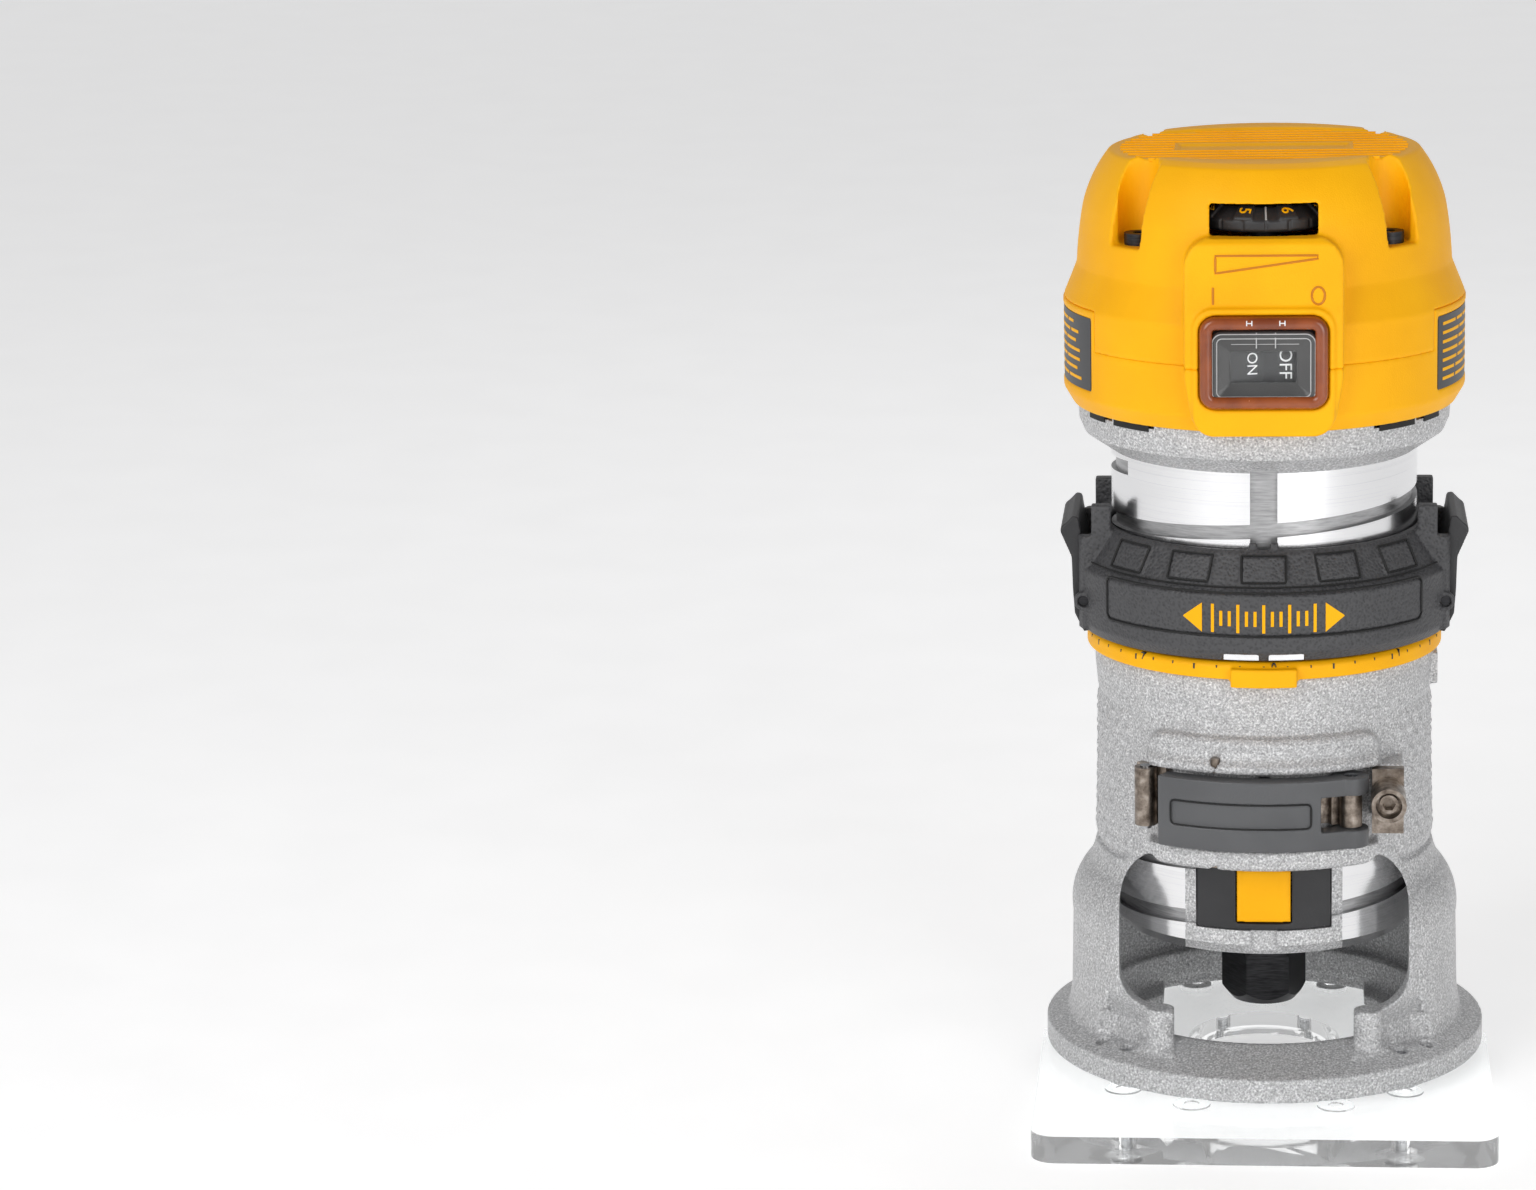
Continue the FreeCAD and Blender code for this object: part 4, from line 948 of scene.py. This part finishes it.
def make_switch_boot():
    """The clear dust boot: a thin moulded skin, its thicker wall painted grey as reflection and
    shade, and painted highlights on its rims and hinge.
    """
    low, high = mm_box("switch_boot")
    front, top, corner = low.y, high.z, 3.0
    inside = [(6.8, 1.4), (4.9, 1.35), (2.6, 0.8), (1.9, 1.0), (1.8, 7.9)]
    outside = [(1.2, 7.9), (1.2, 2.2), (0.5, 2.0), (0.35, 0.8), (0.6, 0.3), (1.0, 0.05),
               (1.5, 0.0), (1.9, 0.2), (4.2, 0.95), (4.7, 1.05), (6.8, 1.1)]
    rows = framed(inside + outside, low, high, corner)
    boot = from_bmesh("switch_boot_skin", shell(rows, caps=True))
    crisp(boot, 60)
    finish(boot, "switch_boot", BOOT)
    boot.data.materials.append(BOOT_WALL_REFLECTION)
    window = 4.6
    # The sloping wall is painted opaque grey: painted reflection and shade on clear plastic.
    for face in boot.data.polygons:
        x, y, z = face.center / MM
        flat = abs(x) < high.x - window and low.z + window < z < high.z - window
        face.material_index = int(y < front + 1.9 and not flat)

    # Light grey bars over the hinge and along the top: painted highlights.
    hinge = [brick(-1.7, -1.45, front + 0.1, front + 0.9, top - 4.0, top - 0.6),
             brick(2.4, 2.65, front + 0.1, front + 0.9, top - 4.0, top - 0.6),
             brick(-1.7, 2.65, front + 0.4, front + 0.9, top - 1.8, top - 1.6),
             brick(-7.0, 7.6, front + 0.6, front + 1.0, top - 3.25, top - 3.0)]
    trim(joined("switch_hinge_highlights", hinge), "motor", HIGHLIGHT_AND_INDEX)
    # Light grey beads round the rims: painted highlights.
    rims = [tube(row, 0.13, True, 6)
            for row in framed([(0.9, -0.02), (1.9, 0.15)], low, high, corner)]
    trim(joined("switch_boot_rim_highlights", rims), "motor", HIGHLIGHT_AND_INDEX)

    # A dark frame between bezel and boot: painted shade in the gap.
    rows = framed([(0.0, 0.0), (0.0, 0.8), (1.15, 0.8), (1.15, 0.0)],
                  low + Vector((0.95, 2.0, 0.95)), high - Vector((0.95, 0.0, 0.15)), 1.4)
    gap_shade = from_bmesh("switch_gap_shade", shell(rows, closed_rows=True))
    trim(gap_shade, "motor", SHADOW)


def make_rocker():
    """The paddle, with its words reading downwards."""
    low, high = mm_box("rocker_switch")
    middle = (low.z + high.z) / 2
    piece = copy_of("rocker_switch", "rocker_paddle")
    soften(piece, voxel=0.22, rounds=2, most=60000)
    finish(piece, "rocker_switch", BLACK)
    words = [stand(lettering("ON", 2.3, 0.3), at(-2.6, low.y + 1.47, middle - 0.1), 14.7,
                   downwards=True),
             stand(lettering("OFF", 2.8, 0.3), at(4.6, low.y + 2.3, middle - 0.2), 2.9,
                   downwards=True)]
    trim(joined("rocker_marks", words), "rocker", WHITE)


def make_bezel_marks():
    """Two small white signs on the bezel's upper edge."""
    front, back = BEZEL_LOW.y - 0.1, BEZEL_LOW.y + 0.2
    top = BEZEL_HIGH.z
    marks = []
    for x in (-3.1, 4.0):
        for side in (-0.55, 0.55):
            marks.append(brick(x + side - 0.12, x + side + 0.12, front, back, top - 1.9,
                               top - 0.8))
        marks.append(brick(x - 0.5, x + 0.5, front, back, top - 1.45, top - 1.25))
    trim(joined("switch_bezel_marks", marks), "motor", WHITE)


# ------------------------------------------------------------------ speed dial
def make_speed_dial():
    """A wheel with a notched rim and a coned face that carries raised, numbered blocks."""
    low, high = mm_box("speed_dial")
    base, radius = low.z, high.x
    axle = Matrix.Translation(at(0, (low.y + high.y) / 2, 0))
    face = base + 5.0
    wheel = lathe([(3.1, base), (radius - 0.6, base), (radius, base + 0.5),
                   (radius, base + 2.3), (radius - 0.5, base + 2.8), (11.4, face), (3.1, face)],
                  step=2.0)
    notches = []
    for step in range(18):
        azimuth = 20 * step + 2
        notches.append(rod(round_axis(radius + 0.2, azimuth, base - 0.7),
                           round_axis(radius + 0.2, azimuth, base + 7.3), 0.55, 12))
    cut(wheel, joined("tool", notches))

    numbers = 9
    block = [(11.3, base + 4.3), (14.4, base + 2.1), (15.0, base + 2.8), (14.8, base + 3.3),
             (11.9, base + 5.55), (11.3, base + 5.5)]
    tilt = Matrix.Rotation(math.radians(38), 4, "X")
    quarter = Matrix.Rotation(math.radians(-90), 4, "Z")
    blocks = [wheel]
    figures = []
    for step in range(numbers):
        azimuth = 360 / numbers * step + 22
        blocks.append(lathe(block, azimuth - 8.5, azimuth + 8.5, 2.0))
        if step < 4 or step > 6:
            figure = lettering(str((step + 5) % numbers + 1), 2.7, 0.25)
            turn = Matrix.Rotation(math.radians(azimuth), 4, "Z")
            lift = Matrix.Translation(at(0, -13.3, base + 4.5))
            figure.data.transform(axle @ turn @ lift @ tilt @ quarter)
            figures.append(figure)
    wheel = joined("speed_dial_wheel", blocks)
    soften(wheel, voxel=0.22, rounds=2, most=120000)
    wheel.data.transform(axle)
    finish(wheel, "speed_dial", BLACK)
    trim(joined("dial_figures", figures), "dial", YELLOW)
    line = rod(at(0, -14.6, base + 2.8), at(0, -11.4, base + 5.05), 0.22, 8)
    line.data.transform(axle @ Matrix.Rotation(math.radians(2), 4, "Z"))
    trim(joined("dial_index", [line]), "dial", HIGHLIGHT_AND_INDEX)


# ------------------------------------------------------------------ motor barrel
def make_motor_housing():
    """The turned barrel, with its flange and the lock's surround left as cast, and its groove
    painted darker as shade.
    """
    flange = mm_box("motor_housing")[1].z - 11.25
    surround_half, surround_back, surround_top = 17.6, -20, 58.6
    groove_floor, groove_top_edge, groove_start = 32.8, 34.2, 38.4
    piece = copy_of("motor_housing", "motor_barrel")
    built = bmesh.new()
    built.from_mesh(piece.data)
    for place, normal in (((-surround_half, 0, 0), (1, 0, 0)), ((surround_half, 0, 0), (1, 0, 0)),
                          ((0, 0, surround_top), (0, 0, 1)),
                          ((0, surround_back, 0), (0, 1, 0))):
        bmesh.ops.bisect_plane(built, geom=list(built.verts) + list(built.edges)
                               + list(built.faces), plane_co=at(*place), plane_no=normal)
    built.to_mesh(piece.data)
    built.free()
    crisp(piece, 25)
    finish(piece, "motor_housing", TURNED)
    piece.data.materials.append(CAST)
    piece.data.materials.append(GROOVE_SHADE)
    for face in piece.data.polygons:
        x, y, z = face.center / MM
        in_surround = abs(x) < surround_half and y < surround_back and z < surround_top
        if z > flange or in_surround:
            face.material_index = 1
        # Groove faces get a darker metal: painted shade in the recess.
        elif groove_floor < math.hypot(x, y) < groove_top_edge and z > groove_start:
            face.material_index = 2


make_depth_ring()
make_ring_mark()
make_release_tab(-1, "release_tab_left")
make_release_tab(1, "release_tab_right")
make_scale_ring()
make_base_casting()
make_sub_base_bosses()
make_lever()
make_lock_and_nut()
make_top_cap()
make_panel_symbols()
make_cap_ribs()
make_cap_skirt()
make_vent_slot_shade()
make_label_lines()
make_switch_bezel()
make_switch_boot()
make_rocker()
make_bezel_marks()
make_speed_dial()
make_motor_housing()


# ------------------------------------------------------------------ stage, lights and camera
def make_stage():
    """A pale floor that runs to the horizon, just below the clear plate."""
    mesh = bpy.data.meshes.new("floor")
    floor = linked("floor", mesh)
    disc = bmesh.new()
    bmesh.ops.create_circle(disc, cap_ends=True, radius=6.0, segments=96)
    disc.to_mesh(mesh)
    disc.free()
    floor.location.z = cad_box[0].z - 0.3 * MM
    made = Material("floor_paint", Roughness=0.8, Emission_Color=(1, 1, 1, 1),
                    Emission_Strength=0.42)
    speck = made.noise(30, 3.0)
    made.set("Base Color", made.ramp(speck, (0.3, linear(238, 238, 238)),
                                     (0.7, linear(243, 243, 243))))
    paint(floor, made.data)


def make_world():
    """A soft studio sky that darkens towards the top."""
    world = bpy.data.worlds.new("studio")
    bpy.context.scene.world = world
    world.use_nodes = True
    tree = world.node_tree
    sky = tree.nodes["Background"]
    place = tree.nodes.new("ShaderNodeTexCoord").outputs["Generated"]
    height = tree.nodes.new("ShaderNodeSeparateXYZ")
    tree.links.new(place, height.inputs[0])
    ramp = tree.nodes.new("ShaderNodeValToRGB")
    tree.links.new(height.outputs["Z"], ramp.inputs[0])
    ramp.color_ramp.elements[0].color = (0.85, 0.85, 0.85, 1)
    ramp.color_ramp.elements[1].color = (0.30, 0.30, 0.31, 1)
    tree.links.new(ramp.outputs[0], sky.inputs["Color"])
    sky.inputs["Strength"].default_value = 0.68


def soft_box(name, azimuth, elevation, distance, wide, tall, watts):
    """An area light aimed at the middle of the tool."""
    lamp = bpy.data.lights.new(name, "AREA")
    lamp.shape = "RECTANGLE"
    lamp.size, lamp.size_y = wide, tall
    lamp.energy = watts
    box = linked(name, lamp)
    turn, rise = math.radians(azimuth), math.radians(elevation)
    back = Vector((math.sin(turn) * math.cos(rise), -math.cos(turn) * math.cos(rise),
                   math.sin(rise)))
    middle = (cad_box[0] + cad_box[1]) / 2
    box.location = middle + back * distance
    box.rotation_euler = back.to_track_quat("Z", "Y").to_euler()


def make_camera():
    """The viewing angle: from a metre in front, above the cap, looking down and to the left."""
    distance, height, focal_length = 1.0767, 0.3685, 113.11
    pan, dip, roll = math.radians(6.029), math.radians(13.376), math.radians(-1.403)
    settings = bpy.data.cameras.new("camera")
    settings.sensor_width = 36
    settings.lens = focal_length
    camera = linked("camera", settings)
    place = Vector((0, -distance, height))
    camera.matrix_world = (Matrix.Translation(place) @ Matrix.Rotation(pan, 4, "Z")
                           @ Matrix.Rotation(math.pi / 2 - dip, 4, "X")
                           @ Matrix.Rotation(roll, 4, "Z"))
    bpy.context.scene.camera = camera


make_stage()
make_world()
soft_box("key", -34, 28, 0.95, 0.5, 0.6, 3.4)
soft_box("fill", 30, 12, 1.05, 0.5, 0.6, 2.7)
soft_box("rear", 170, 50, 1.0, 0.7, 0.5, 1.2)
make_camera()
bpy.context.scene.view_settings.view_transform = "Standard"
